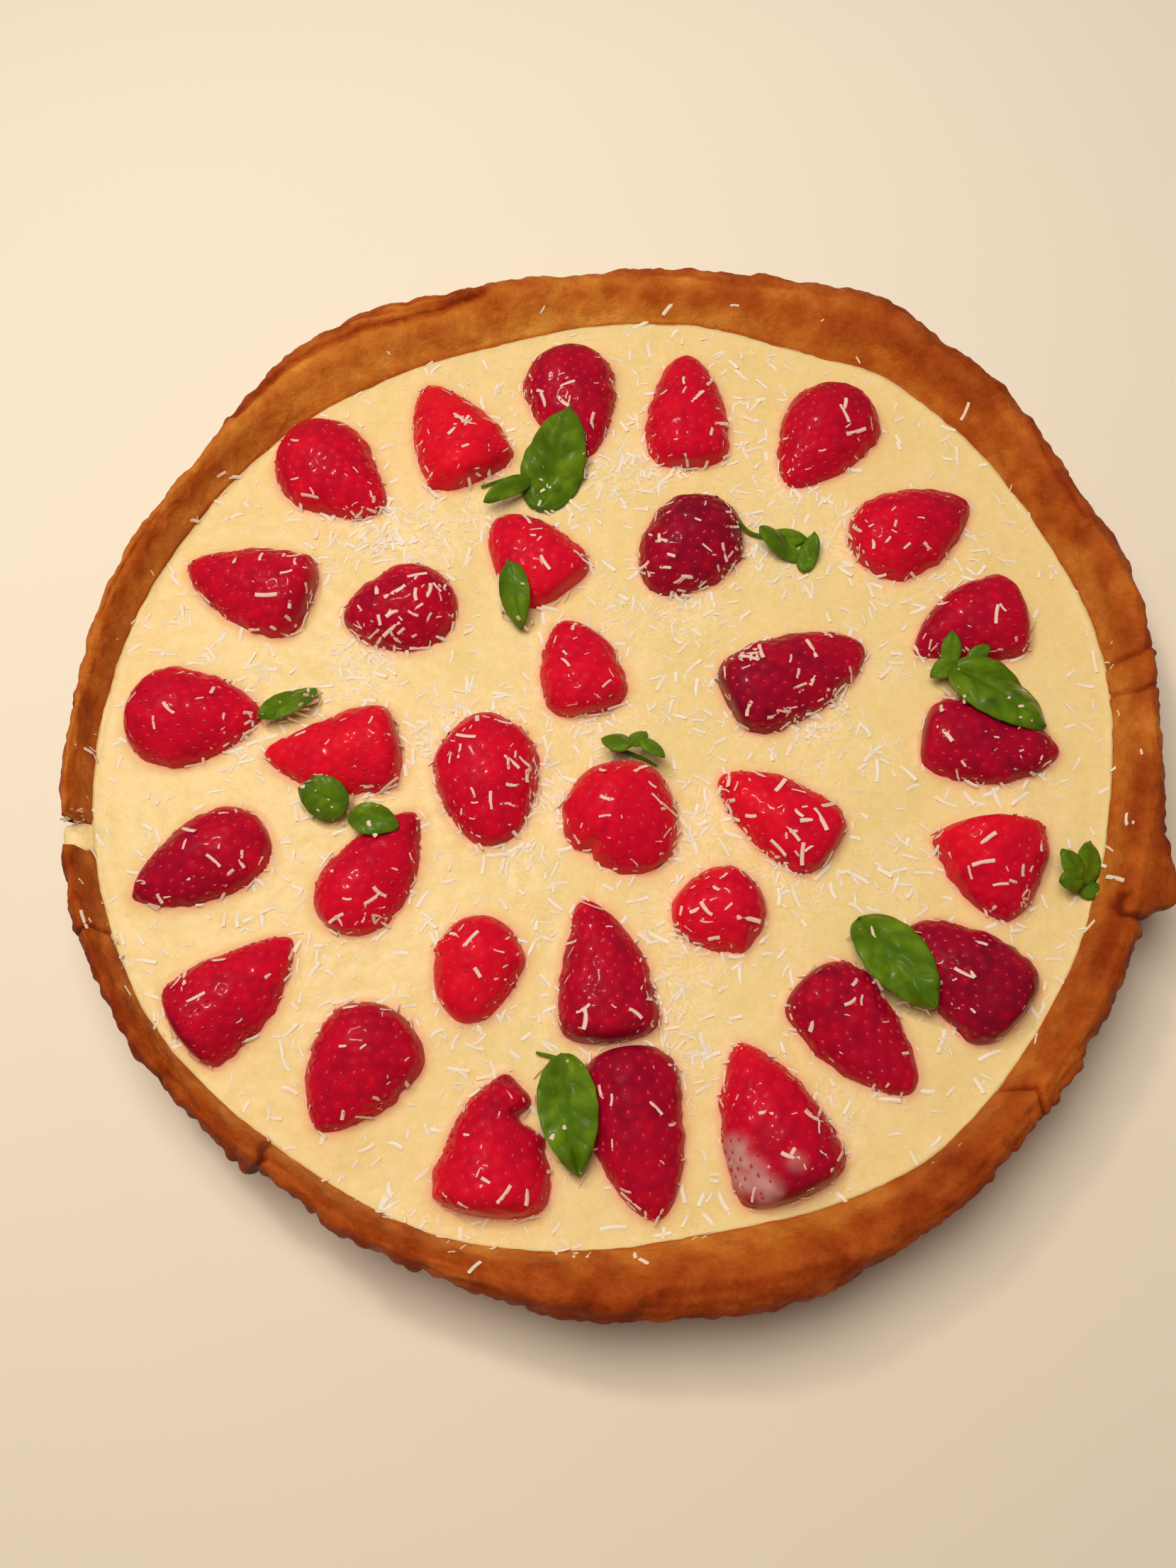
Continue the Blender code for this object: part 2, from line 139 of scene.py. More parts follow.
# Pale flesh where the skin is thin, and in the last row a painted highlight, a glare on berry 29:
# strawberry, x, y, reach, strength
PALE_PATCHES = [(29, 15.5, -109, 3.8, 0.8), (29, 18, -114.5, 4.0, 0.85), (29, 22, -119, 3.2, 0.8),
                (29, 29, -113.5, 2.4, 0.3)]

SEED_SPACING = 3.0
GOLDEN_ANGLE = 137.508       # turn from one seed to the next
CLEAR_OF_CUT = 0.10          # seeds keep this many radians above the cut edge
DIMPLE_DEPTH = 0.28
DIMPLE_RADIUS = 0.9

# --- the basil ------------------------------------------------------------------------------------
# For each leaf: run from stalk to point in x and y, width, how strongly it is quilted between its veins
BASIL_LEAVES = [
    (12, 28, 17, 1.0),
    (13, -25, 15, 1.0),
    (1, -28, 14, 1.0),
    (19, -20, 16, 1.0),
    (-12, 6, 10, 0.5),
    (12, -6, 9, 0.5),
    (-15, -7, 8, 0.3),
    (1, -17, 8, 0.4),
]
LEAF_FULLNESS = (0.84, 0.52, 0.18)    # where it is widest, roundness at the stalk, sharpness at the point
LEAF_CLEARANCE = 0.5         # above what it rests on
LEAF_STIFFNESS = 0.03        # how little it sags: its drop at 1 mm from where it is held
LEAF_REACH = 14              # how far from its middle it can be held up
LEAF_THICKNESS = 0.4
LEAFLET_GRID = (16, 9)       # rows and columns of a leaflet's blade
STALK_RADIUS = 0.7

# Leaflets that grow beside the leaves and as sprigs: stalk x, y, point x, y, width
LEAFLETS = [
    (-12, 77, -25.5, 70.5, 4.8),
    (47, 51.5, 57.5, 43, 6.5), (49, 51, 60, 49.5, 6), (57, 39.4, 61.8, 50, 5.5),
    (108.5, -55, 104.5, -48, 6), (109.6, -56, 113.6, -45, 6.5), (109, -55, 102.5, -55.5, 5.5),
    (108, -56, 113.5, -58.5, 5),
    (5, -8, -2, -4, 6), (5, -7.5, 9.5, -3, 4.5), (7.5, -5.5, 13, -11.5, 4),
    (88.6, 4.8, 90.5, 13.2, 5), (89.8, 5.8, 83.6, 3, 5), (93, 5, 99, 7.8, 4),
]

# Stalks: the plan points that each one runs through
STALKS = [
    [(-10.5, 69.5), (-14.5, 75), (-18, 80), (-26, 78)],
    [(-20.5, -83), (-23, -81.5), (-26.8, -80)],
    [(42, 54.8), (46.5, 51.9), (53, 50.8), (58, 44)],
    [(108.9, -57), (108.6, -53), (107.5, -49)],
    [(0, -4.2), (4, -6.2), (8.3, -8.8), (11, -11)],
    [(89.5, 4), (88.5, 7.5), (90, 12)],
    [(-66.5, -13), (-66.8, -16.5)],
    [(-21.2, 45.5), (-20.6, 50.5)],
]

# --- the white shavings ---------------------------------------------------------------------------
FRINGE = 1.0                 # how much thicker they lie against the foot of the fruit
SHED = 0.68                  # share that doesn't stay on the fruit
# Where they fell thickly: x, y, reach, strength
DRIFTS = [
    (-55, 71, 9, 2.4), (-42, 63, 8, 1.6), (-61, 31, 8, 2.6), (-26, 69, 8, 1.6), (13, 79, 7, 1.8),
    (24, 35, 9, 1.8), (43, 51, 6, 2.2), (38, 14, 2.5, 16.0), (-28.7, 95.3, 2.0, 30.0),
    (-137, -6.6, 1.6, 40.0), (53, -3, 7, 2.4), (-17, -15, 7, 3.0),
    (-6, 3, 8, 1.4), (-43, 6, 8, 1.6), (17, -30, 7, 2.0), (39, -41, 7, 2.2), (17, -56, 7, 2.0),
    (36, -106, 9, 2.4), (58, 66, 6, 1.8), (25, 76, 7, 1.4), (-94, 11, 6, 1.4), (6, -70, 7, 1.4),
    (68, 47, 6, 1.4), (27, 127, 3, 2.0), (40, 125, 3, 2.0), (-60, -117, 7, 1.8), (-28, 8, 9, 1.0),
    (-34, 23, 9, -0.6), (71, -2, 9, -0.5), (-117, 1, 7, -0.5), (47, -62, 8, -0.5),
]


# --- helpers --------------------------------------------------------------------------------------
def linear(colour):
    """An sRGB hex colour as the linear RGBA that a socket takes."""
    channels = [int(colour[i:i + 2], 16) / 255 for i in (0, 2, 4)]
    return (*[c / 12.92 if c <= 0.04045 else ((c + 0.055) / 1.055) ** 2.4 for c in channels], 1.0)


def add_node(tree, kind, inputs=None, stops=(), **settings):
    """A node with its settings, its inputs as values or links, and a colour ramp's stops."""
    node = tree.nodes.new(kind)
    for name, value in settings.items():
        setattr(node, name, value)
    for key, value in (inputs or {}).items():
        if isinstance(value, bpy.types.NodeSocket):
            tree.links.new(value, node.inputs[key])
        else:
            node.inputs[key].default_value = value
    for i, (place, colour) in enumerate(stops):
        ramp = node.color_ramp.elements
        stop = ramp[i] if i < 2 else ramp.new(place)
        stop.position = place
        stop.color = linear(colour)
    return node


def start_material(name, **sockets):
    """A new material, its tree and its place on the piece, with numbers set straight on the shader."""
    finish = bpy.data.materials.new(name)
    finish.use_nodes = True
    tree = finish.node_tree
    for socket, value in sockets.items():
        tree.nodes["Principled BSDF"].inputs[socket.replace("_", " ")].default_value = value
    return finish, tree, add_node(tree, "ShaderNodeTexCoord").outputs["Object"]


def wire_shader(tree, **sockets):
    """Link outputs to the sockets of a material's shader."""
    for socket, output in sockets.items():
        tree.links.new(output, tree.nodes["Principled BSDF"].inputs[socket.replace("_", " ")])


def per_mm(size):
    """A pattern's scale on Object coordinates, which are metres, for features of a size in mm."""
    return 1 / (size * MM)


def put_in_scene(name, content):
    """A new object in the scene, at the origin."""
    thing = bpy.data.objects.new(name, content)
    bpy.context.scene.collection.objects.link(thing)
    return thing


def make_mesh(name, vertices, faces, **attributes):
    """A mesh from vertices in millimetres, with numbers or directions on its points."""
    mesh = bpy.data.meshes.new(name)
    mesh.from_pydata((np.asarray(vertices) * MM).tolist(), [], faces)
    for key, values in attributes.items():
        values = np.asarray(values, np.float32)
        kind, field = ("FLOAT_VECTOR", "vector") if values.ndim == 2 else ("FLOAT", "value")
        mesh.attributes.new(key, kind, "POINT").data.foreach_set(field, values.ravel())
    return mesh


def add_piece(name, mesh, replaces=None):
    """A piece that rides on the tart."""
    piece = put_in_scene(name, mesh)
    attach(piece, "root")
    if replaces:
        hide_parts(replaces)
    return piece


def add_smooth_piece(name, vertices, faces, finish, slot, replaces=None, **attributes):
    """A smoothly shaded piece from vertices in millimetres."""
    mesh = make_mesh(name, vertices, faces, **attributes)
    mesh.materials.append(finish)
    mesh.shade_smooth()
    mesh.update()
    return add_piece(name, mesh, replaces)


def lumps(points, size, shift=0.0):
    """Smooth noise, about -1 to 1, at each point, with features of the given size in mm."""
    return np.array([noise.noise(p) for p in (np.asarray(points) / size + shift).tolist()])


def smooth(low, high, value):
    """0 below low, 1 above high, and an S-curve between."""
    t = np.clip((np.asarray(value) - low) / (high - low), 0, 1)
    return t * t * (3 - 2 * t)


def bend_through(marks, spans, t):
    """Smooth curve from the second of four marks to the third, with the spans between them."""
    before, low, high, beyond = marks
    slope_in = (high - before) / (spans[0] + spans[1]) * spans[1]
    slope_out = (beyond - low) / (spans[1] + spans[2]) * spans[1]
    return (low * (2 * t ** 3 - 3 * t ** 2 + 1) + slope_in * (t ** 3 - 2 * t ** 2 + t)
            + high * (3 * t ** 2 - 2 * t ** 3) + slope_out * (t ** 3 - t ** 2))


def around(table, angle):
    """Smooth value of a table of angles at any angles, closed round the circle."""
    marks = np.array(sorted(table), float)
    values = np.array([table[mark] for mark in sorted(table)], float)
    angle = np.asarray(angle) % 360
    after = np.searchsorted(marks, angle, side="right")
    pick = [(after + shift) % len(marks) for shift in (-2, -1, 0, 1)]
    spans = [(marks[b] - marks[a]) % 360 for a, b in zip(pick, pick[1:])]
    t = (angle - marks[pick[1]]) % 360 / spans[1]
    return bend_through([values[index] for index in pick], spans, t)


def turn_from(angle, start):
    """Signed turn from a start angle, between -180 and 180."""
    return (np.asarray(angle) - start + 180) % 360 - 180


def turns_round(count):
    """A number of turns, in radians, evenly round a circle."""
    return np.arange(count) * 2 * math.pi / count


def ring(radius, turns, height=None):
    """Points at turns, in radians, round the middle of the tart, in plan or at a height."""
    columns = [radius * np.cos(turns), radius * np.sin(turns)]
    return np.stack(columns if height is None else columns + [height + 0 * turns], axis=-1)


def shift_faces(faces, first):
    """Faces of a part whose vertices come after others."""
    return [tuple(first + i for i in face) for face in faces]


def flip_faces(faces):
    """Faces turned to look the other way."""
    return [tuple(reversed(face)) for face in faces]


def stack_faces(counts):
    """Faces between rings of vertices stacked in order, whose counts may differ by a whole factor."""
    faces, first = [], 0
    for count, above in zip(counts, counts[1:]):
        second, steps = first + count, max(count, above)
        for i in range(steps):
            a, next_a = first + i * count // steps, first + (i + 1) * count // steps % count
            b, next_b = second + i * above // steps, second + (i + 1) * above // steps % above
            if a == next_a:
                faces.append((a, next_b, b))
            elif b == next_b:
                faces.append((a, next_a, b))
            else:
                faces.append((a, next_a, next_b, b))
        first = second
    return faces


def closed_stack(counts):
    """The same with both ends closed: it looks out when the rings turn left and rise outside."""
    total = sum(counts)
    bottom, top = tuple(reversed(range(counts[0]))), tuple(range(total - counts[-1], total))
    return [*stack_faces(counts), bottom, top]


def grid_faces(rows, columns):
    """Quads over a grid of rows and columns of vertices."""
    return [(i * columns + j, i * columns + j + 1, (i + 1) * columns + j + 1, (i + 1) * columns + j)
            for i in range(rows - 1) for j in range(columns - 1)]


def spline_rows(keys, counts):
    """Rows of points on a smooth curve through key rows, with a number of rows from each key on."""
    marks = [keys[0], *keys, keys[-1]]
    spans = [0.0, *[np.linalg.norm(b - a, axis=-1).mean() for a, b in zip(keys, keys[1:])], 0.0]
    return [bend_through(marks[i:i + 4], spans[i:i + 3], t)
            for i, count in enumerate(counts) for t in np.arange(count) / count] + [keys[len(counts)]]


def near_lines(x, y, corners):
    """Distance of points from a line through corners, and which side of it they are on."""
    best, side = np.full(x.shape, FAR_AWAY), np.zeros(x.shape)
    for (x0, y0), (x1, y1) in zip(corners, corners[1:]):
        run_x, run_y = x1 - x0, y1 - y0
        t = np.clip(((x - x0) * run_x + (y - y0) * run_y) / (run_x ** 2 + run_y ** 2 + TINY), 0, 1)
        gap_x, gap_y = x - x0 - t * run_x, y - y0 - t * run_y
        distance = np.hypot(gap_x, gap_y)
        side = np.where(distance < best, np.sign(gap_x * run_y - gap_y * run_x), side)
        best = np.minimum(best, distance)
    return best, side


def heights_at(spots, tops):
    """Height of the highest skin at each plan point, and 0 where there is none."""
    above = 80.0
    found = [tops.ray_cast((x, y, above), (0, 0, -1))[0] for x, y in spots.tolist()]
    return np.array([place.z if place else 0.0 for place in found])


def skins_of(meshes):
    """One search tree over several meshes, in millimetres."""
    vertices, faces, first = [], [], 0
    for corners, polygons in meshes:
        vertices.extend(corners.tolist())
        faces.extend(shift_faces(polygons, first))
        first += len(corners)
    return BVHTree.FromPolygons(vertices, faces)


# --- materials ------------------------------------------------------------------------------------
def shortcrust_pastry():
    """Egg-glazed shortcrust, baked: mottled from straw to deep brown, dry, with a fine sandy crumb."""
    finish, tree, place = start_material("shortcrust, egg glazed and baked", Specular_IOR_Level=0.15)
    # the attribute read here holds the browning and the painted light: shade in folds, in flute grooves and
    # on the left and near sides, and a highlight on the upper left edge
    bake = add_node(tree, "ShaderNodeAttribute", attribute_name="bake").outputs["Fac"]
    blotches = add_node(tree, "ShaderNodeTexNoise", {"Vector": place, "Scale": per_mm(5), "Detail": 5.0,
                                                     "Roughness": 0.65}).outputs["Fac"]
    crumb = add_node(tree, "ShaderNodeTexNoise", {"Vector": place, "Scale": per_mm(0.9), "Detail": 3.0,
                                                  "Roughness": 0.7}).outputs["Fac"]
    uneven = add_node(tree, "ShaderNodeMath", {0: blotches, 1: 0.55, 2: -0.275},
                      operation="MULTIPLY_ADD").outputs[0]
    speckled = add_node(tree, "ShaderNodeMath", {0: crumb, 1: 0.22, 2: -0.11},
                        operation="MULTIPLY_ADD").outputs[0]
    browned = add_node(tree, "ShaderNodeMath", {0: bake, 1: uneven}, operation="ADD").outputs[0]
    browned = add_node(tree, "ShaderNodeMath", {0: browned, 1: speckled}, operation="ADD").outputs[0]
    colour = add_node(tree, "ShaderNodeValToRGB", {"Fac": browned},
                      stops=[(0.0, "E29C42"), (1.0, "641E04"), (0.25, "C87428"), (0.5, "AE5216"),
                             (0.75, "90360A")]).outputs["Color"]
    dull = add_node(tree, "ShaderNodeMapRange", {"Value": blotches, "From Min": 0.3, "From Max": 0.7,
                                                 "To Min": 0.42, "To Max": 0.72}).outputs["Result"]
    rough = add_node(tree, "ShaderNodeBump", {"Height": blotches, "Strength": 1.0, "Distance": 0.8 * MM})
    grain = add_node(tree, "ShaderNodeBump", {"Height": crumb, "Strength": 0.8, "Distance": 0.3 * MM,
                                              "Normal": rough.outputs["Normal"]})
    wire_shader(tree, Base_Color=colour, Roughness=dull, Normal=grain.outputs["Normal"])
    return finish


def custard_cream():
    """Custard folded with whipped cream: pale yellow, with juice at the fruit and shavings sunk in it."""
    finish, tree, place = start_material("custard cream, set", Roughness=0.38, Subsurface_Weight=0.25,
                                         Subsurface_Scale=0.004, Subsurface_Radius=(1.0, 0.8, 0.45),
                                         Specular_IOR_Level=0.45)
    juice = add_node(tree, "ShaderNodeAttribute", attribute_name="juice").outputs["Fac"]
    cloud = add_node(tree, "ShaderNodeTexNoise", {"Vector": place, "Scale": per_mm(14), "Detail": 4.0,
                                                  "Roughness": 0.6}).outputs["Fac"]
    curd = add_node(tree, "ShaderNodeTexNoise", {"Vector": place, "Scale": per_mm(2.2), "Detail": 3.0,
                                                 "Roughness": 0.6}).outputs["Fac"]
    both = add_node(tree, "ShaderNodeMath", {0: cloud, 1: curd}, operation="ADD").outputs[0]
    tone = add_node(tree, "ShaderNodeMath", {0: both, 1: 0.5}, operation="MULTIPLY").outputs[0]
    yellow = add_node(tree, "ShaderNodeValToRGB", {"Fac": tone},
                      stops=[(0.35, "E5C67E"), (0.65, "EDCE8E")]).outputs["Color"]
    strewn = add_node(tree, "ShaderNodeAttribute", attribute_name="strewn").outputs["Fac"]
    shreds = add_node(tree, "ShaderNodeTexNoise", {"Vector": place, "Scale": per_mm(1.7), "Detail": 4.0,
                                                   "Roughness": 0.6, "Distortion": 1.5}).outputs["Fac"]
    sunk = add_node(tree, "ShaderNodeMapRange", {"Value": shreds, "From Min": 0.42, "From Max": 0.62,
                                                 "To Min": 0.0, "To Max": 1.0}).outputs["Result"]
    sunk = add_node(tree, "ShaderNodeMath", {0: sunk, 1: strewn}, operation="MULTIPLY").outputs[0]
    flecked = add_node(tree, "ShaderNodeMix", {0: sunk, 6: yellow, 7: linear("F8D8A8")},
                       data_type="RGBA").outputs[2]
    stained = add_node(tree, "ShaderNodeMix", {0: juice, 6: flecked, 7: linear("F08A78")},
                       data_type="RGBA").outputs[2]
    skin = add_node(tree, "ShaderNodeBump", {"Height": curd, "Strength": 0.4, "Distance": 0.3 * MM})
    wire_shader(tree, Base_Color=stained, Normal=skin.outputs["Normal"])
    return finish


def strawberry_skin():
    """Fresh strawberry, rinsed: glassy wet skin over translucent flesh, scarlet to crimson."""
    finish, tree, place = start_material("strawberry, fresh and wet", Roughness=0.38, Subsurface_Weight=0.3,
                                         Subsurface_Scale=0.0025, Subsurface_Radius=(1.0, 0.12, 0.12),
                                         Coat_Weight=0.2, Coat_Roughness=0.06, Specular_IOR_Level=0.12)
    ripeness = add_node(tree, "ShaderNodeAttribute", attribute_name="ripeness").outputs["Fac"]
    flesh = add_node(tree, "ShaderNodeAttribute", attribute_name="flesh").outputs["Fac"]
    mottle = add_node(tree, "ShaderNodeTexNoise", {"Vector": place, "Scale": per_mm(6), "Detail": 5.0,
                                                   "Roughness": 0.65}).outputs["Fac"]
    ripe = add_node(tree, "ShaderNodeMath", {0: mottle, 1: 0.9, 2: -0.45},
                    operation="MULTIPLY_ADD").outputs[0]
    ripe = add_node(tree, "ShaderNodeMath", {0: ripe, 1: ripeness}, operation="ADD").outputs[0]
    red = add_node(tree, "ShaderNodeValToRGB", {"Fac": ripe},
                   stops=[(0.0, "E41222"), (1.0, "7C0420"), (0.35, "CC0626"), (0.7, "A40424")]
                   ).outputs["Color"]
    # pale flesh, and the painted highlight on berry 29, mixed over the red
    colour = add_node(tree, "ShaderNodeMix", {0: flesh, 6: red, 7: linear("C89088")},
                      data_type="RGBA").outputs[2]
    pores = add_node(tree, "ShaderNodeTexNoise", {"Vector": place, "Scale": per_mm(0.7), "Detail": 2.0}
                     ).outputs["Fac"]
    skin = add_node(tree, "ShaderNodeBump", {"Height": pores, "Strength": 0.25, "Distance": 0.15 * MM})
    wire_shader(tree, Base_Color=colour, Normal=skin.outputs["Normal"])
    return finish


def strawberry_seed():
    """Achenes: dry little husks, straw to russet."""
    finish, tree, place = start_material("strawberry seeds, dry husk", Roughness=0.45)
    tint = add_node(tree, "ShaderNodeTexNoise", {"Vector": place, "Scale": per_mm(5)}).outputs["Fac"]
    colour = add_node(tree, "ShaderNodeValToRGB", {"Fac": tint},
                      stops=[(0.4, "B41A2C"), (0.75, "C8544E")]).outputs["Color"]
    wire_shader(tree, Base_Color=colour)
    return finish


def basil_blade():
    """Basil: waxy green blade, with painted shade along the valleys of its veins, letting light through."""
    finish, tree, place = start_material("basil leaf, fresh", Roughness=0.36, Subsurface_Weight=0.2,
                                         Subsurface_Scale=0.001, Subsurface_Radius=(0.5, 1.0, 0.2),
                                         Coat_Weight=0.15, Coat_Roughness=0.2, Specular_IOR_Level=0.25)
    vein = add_node(tree, "ShaderNodeAttribute", attribute_name="vein").outputs["Fac"]
    tone = add_node(tree, "ShaderNodeTexNoise", {"Vector": place, "Scale": per_mm(5), "Detail": 4.0}
                    ).outputs["Fac"]
    green = add_node(tree, "ShaderNodeValToRGB", {"Fac": tone},
                     stops=[(0.3, "3C5604"), (0.7, "6A840C")]).outputs["Color"]
    # painted shade: a darker green along the vein valleys
    colour = add_node(tree, "ShaderNodeMix", {0: vein, 6: green, 7: linear("4A6808")},
                      data_type="RGBA").outputs[2]
    cells = add_node(tree, "ShaderNodeTexNoise", {"Vector": place, "Scale": per_mm(0.8), "Detail": 2.0}
                     ).outputs["Fac"]
    skin = add_node(tree, "ShaderNodeBump", {"Height": cells, "Strength": 0.3, "Distance": 0.15 * MM})
    wire_shader(tree, Base_Color=colour, Normal=skin.outputs["Normal"])
    return finish


def white_shaving():
    """White chocolate, shaved: ivory, waxy, a little translucent, and pink with juice on the fruit."""
    finish, tree, place = start_material("white chocolate, shaved", Roughness=0.42, Subsurface_Weight=0.3,
                                         Subsurface_Scale=0.001, Subsurface_Radius=(1.0, 0.85, 0.6))
    tint = add_node(tree, "ShaderNodeTexNoise", {"Vector": place, "Scale": per_mm(6)}).outputs["Fac"]
    wet = add_node(tree, "ShaderNodeAttribute", attribute_name="wet").outputs["Fac"]
    ivory = add_node(tree, "ShaderNodeValToRGB", {"Fac": tint},
                     stops=[(0.35, "FCDEB8"), (0.65, "FFECD0")]).outputs["Color"]
    colour = add_node(tree, "ShaderNodeMix", {0: wet, 6: ivory, 7: linear("F4B8A4")},
                      data_type="RGBA").outputs[2]
    wire_shader(tree, Base_Color=colour)
    return finish


# --- the pastry case ------------------------------------------------------------------------------
COLUMNS = 8 * FLUTES
ANGLES = np.arange(COLUMNS) * 360 / COLUMNS
RIM_RADIUS = 142             # for turning angles round the rim into millimetres
# How brown the wall, the underside and the floor are, all over: 0 is straw and 1 nearly black
WALL_BAKE, UNDER_BAKE, FLOOR_BAKE = 0.45, 0.5, 0.2

# Extra browning round the case: on the outer edge, and on the slope down to the cream. On the outer edge at
# the upper left, from about 115 to 170 degrees, the values are negative: a painted highlight that makes it
# lighter.
EDGE_BROWNING_AND_HIGHLIGHT = {0: 0.0, 30: 0.15, 50: 0.05, 75: -0.12, 95: -0.05, 115: -0.25, 135: -0.32, 152: -0.4,
                 170: -0.12, 185: 0.02, 210: 0.12, 235: 0.03, 255: 0.12, 285: 0.10, 315: 0.14, 340: 0.12}
SLOPE_BROWNING = {0: 0.08, 30: 0.26, 50: 0.28, 75: 0.0, 95: 0.02, 115: 0.05, 135: -0.08, 152: -0.03,
                  170: 0.08, 185: 0.1, 210: 0.03, 235: 0.06, 255: 0.06, 285: 0.1, 315: 0.24, 340: 0.2}

# Folds in the dough, as lines of (angle, distance in from the outer edge); then depth, width, raised lip
CREASES = [
    ([(131, 1.5), (126, 4.0), (120.5, 6.2), (113.7, 7.8), (108, 8.6), (104, 8.2), (98, 5.0)],
     1.2, 1.1, 0.9),
    ([(117, 3.2), (111, 4.2), (107, 6.0), (102, 6.0)], 0.7, 0.6, 0.4),
    ([(124, 2.4), (118, 4.0), (114, 5.6)], 0.5, 0.5, 0.3),
    ([(112, 2.0), (106, 3.0), (100, 3.6)], 0.5, 0.5, 0.3),
    ([(1.0, -1.0), (-0.2, 5.0), (0.2, 11.0)], 0.7, 0.7, 0.3),
    ([(-3.6, -1.0), (-4.2, 6.0), (-3.2, 11.0)], 0.8, 0.6, 0.2),
    ([(-29.6, -1.0), (-30.2, 6.0), (-28.0, 10.0)], 1.0, 0.7, 0.3),
    ([(226.6, -1.0), (227.6, 3.0), (226.0, 8.0)], 1.2, 0.6, 0.4),
    ([(196.4, -1.0), (196.0, 4.0), (196.9, 7.0)], 1.2, 0.35, 0.0),
    ([(-52.0, -1.0), (-50.6, 5.0), (-52.4, 11.0)], 0.9, 0.4, 0.1),
    ([(30, 2.0), (24, 5.0), (17, 5.5)], 0.5, 0.8, 0.2),
    ([(75, 3.0), (68, 6.0), (62, 5.0)], 0.4, 0.9, 0.15),
    ([(285, 4.0), (277, 6.5), (268, 5.0)], 0.5, 0.8, 0.2),
    ([(160, 2.5), (152, 3.5), (146, 3.0)], 0.5, 0.7, 0.2),
]


def flap_reach(angle):
    """How far a tongue of dough stands out: it grows to its peak and drops to its end."""
    reach = np.zeros_like(angle, float)
    for start, peak, end, height in RIM_FLAPS:
        t = turn_from(angle, start) / turn_from(peak, start)
        t = np.where(t > 1, 1 - turn_from(angle, peak) / turn_from(end, peak), t)
        t = np.clip(np.where(np.abs(turn_from(angle, peak)) > 90, 0, t), 0, 1)
        reach += height * t * t * (3 - 2 * t)
    return reach


def crest_height(angle):
    """Height of the rim's crest, which rises and falls round the case."""
    turn = np.radians(angle)
    return CREST_HEIGHT + 0.7 * np.sin(3 * turn + 1) + 0.5 * np.sin(8 * turn) + 0.3 * np.sin(17 * turn)


def wall_radius(height):
    """Radius of the wall between its flutes, which leans out as it rises."""
    return BASE_RADIUS + (WALL_TOP_RADIUS - BASE_RADIUS) * height / WALL_TOP


def case_profile():
    """The case's skin from the foot of the wall, over the rim and down inside: radius and height."""
    ones = np.ones(COLUMNS)
    edge, cream = around(RIM_EDGE, ANGLES), around(CREAM_EDGE, ANGLES)
    outer, crest = edge + flap_reach(ANGLES), crest_height(ANGLES)
    ragged = 0.6 * lumps(np.c_[ANGLES, ones, ones], 2.2) + 0.4 * lumps(np.c_[ANGLES, ones, ones], 0.8)

    def key(radius, height):
        return np.stack([radius * ones, height * ones], axis=-1)

    def across(share, height):
        return key(edge + (cream - edge) * share, height)

    neck = WALL_TOP - 1.5
    wall = [key(wall_radius(height), height) for height in np.linspace(BASE_CHAMFER, neck, 8)[:-1]]
    rim_keys = [
        key(wall_radius(neck), neck),
        key(0.3 * WALL_TOP_RADIUS + 0.7 * outer, EDGE_HEIGHT - 3.6),
        key(outer + ragged, EDGE_HEIGHT + 0.5 * np.sin(np.radians(11 * ANGLES))),
        across(0.16, crest - 0.7), across(0.38, crest), across(0.66, crest - 2.5),
        across(1.0, CREAM_TOP), across(1.08, CREAM_TOP - 3), key(FLOOR_RADIUS, FLOOR_THICKNESS)]
    profile = np.array(wall + spline_rows(rim_keys, [5, 6, 7, 6, 8, 10, 3]))
    share_in = np.clip((edge - profile[..., 0]) / (edge - cream), -0.2, 1.2)

    # Flutes stand on the wall, and run up onto the edge only where the dough doesn't hang over it.
    flute = 1 - np.abs(np.cos(np.radians(FLUTES * ANGLES / 2)))
    overhang = smooth(1.5, 6, outer - WALL_TOP_RADIUS)
    fade = 1 - smooth(WALL_TOP - 2, WALL_TOP + 3, profile[..., 1]) * overhang
    past_edge = np.arange(len(profile))[:, None] - (len(wall) + 10)
    pressed = flute * np.clip(fade, 0, 1) * smooth(5, 0, past_edge)
    profile[..., 0] -= 1.2 * FLUTE_DEPTH * pressed
    return profile, share_in, outer - profile[..., 0], pressed


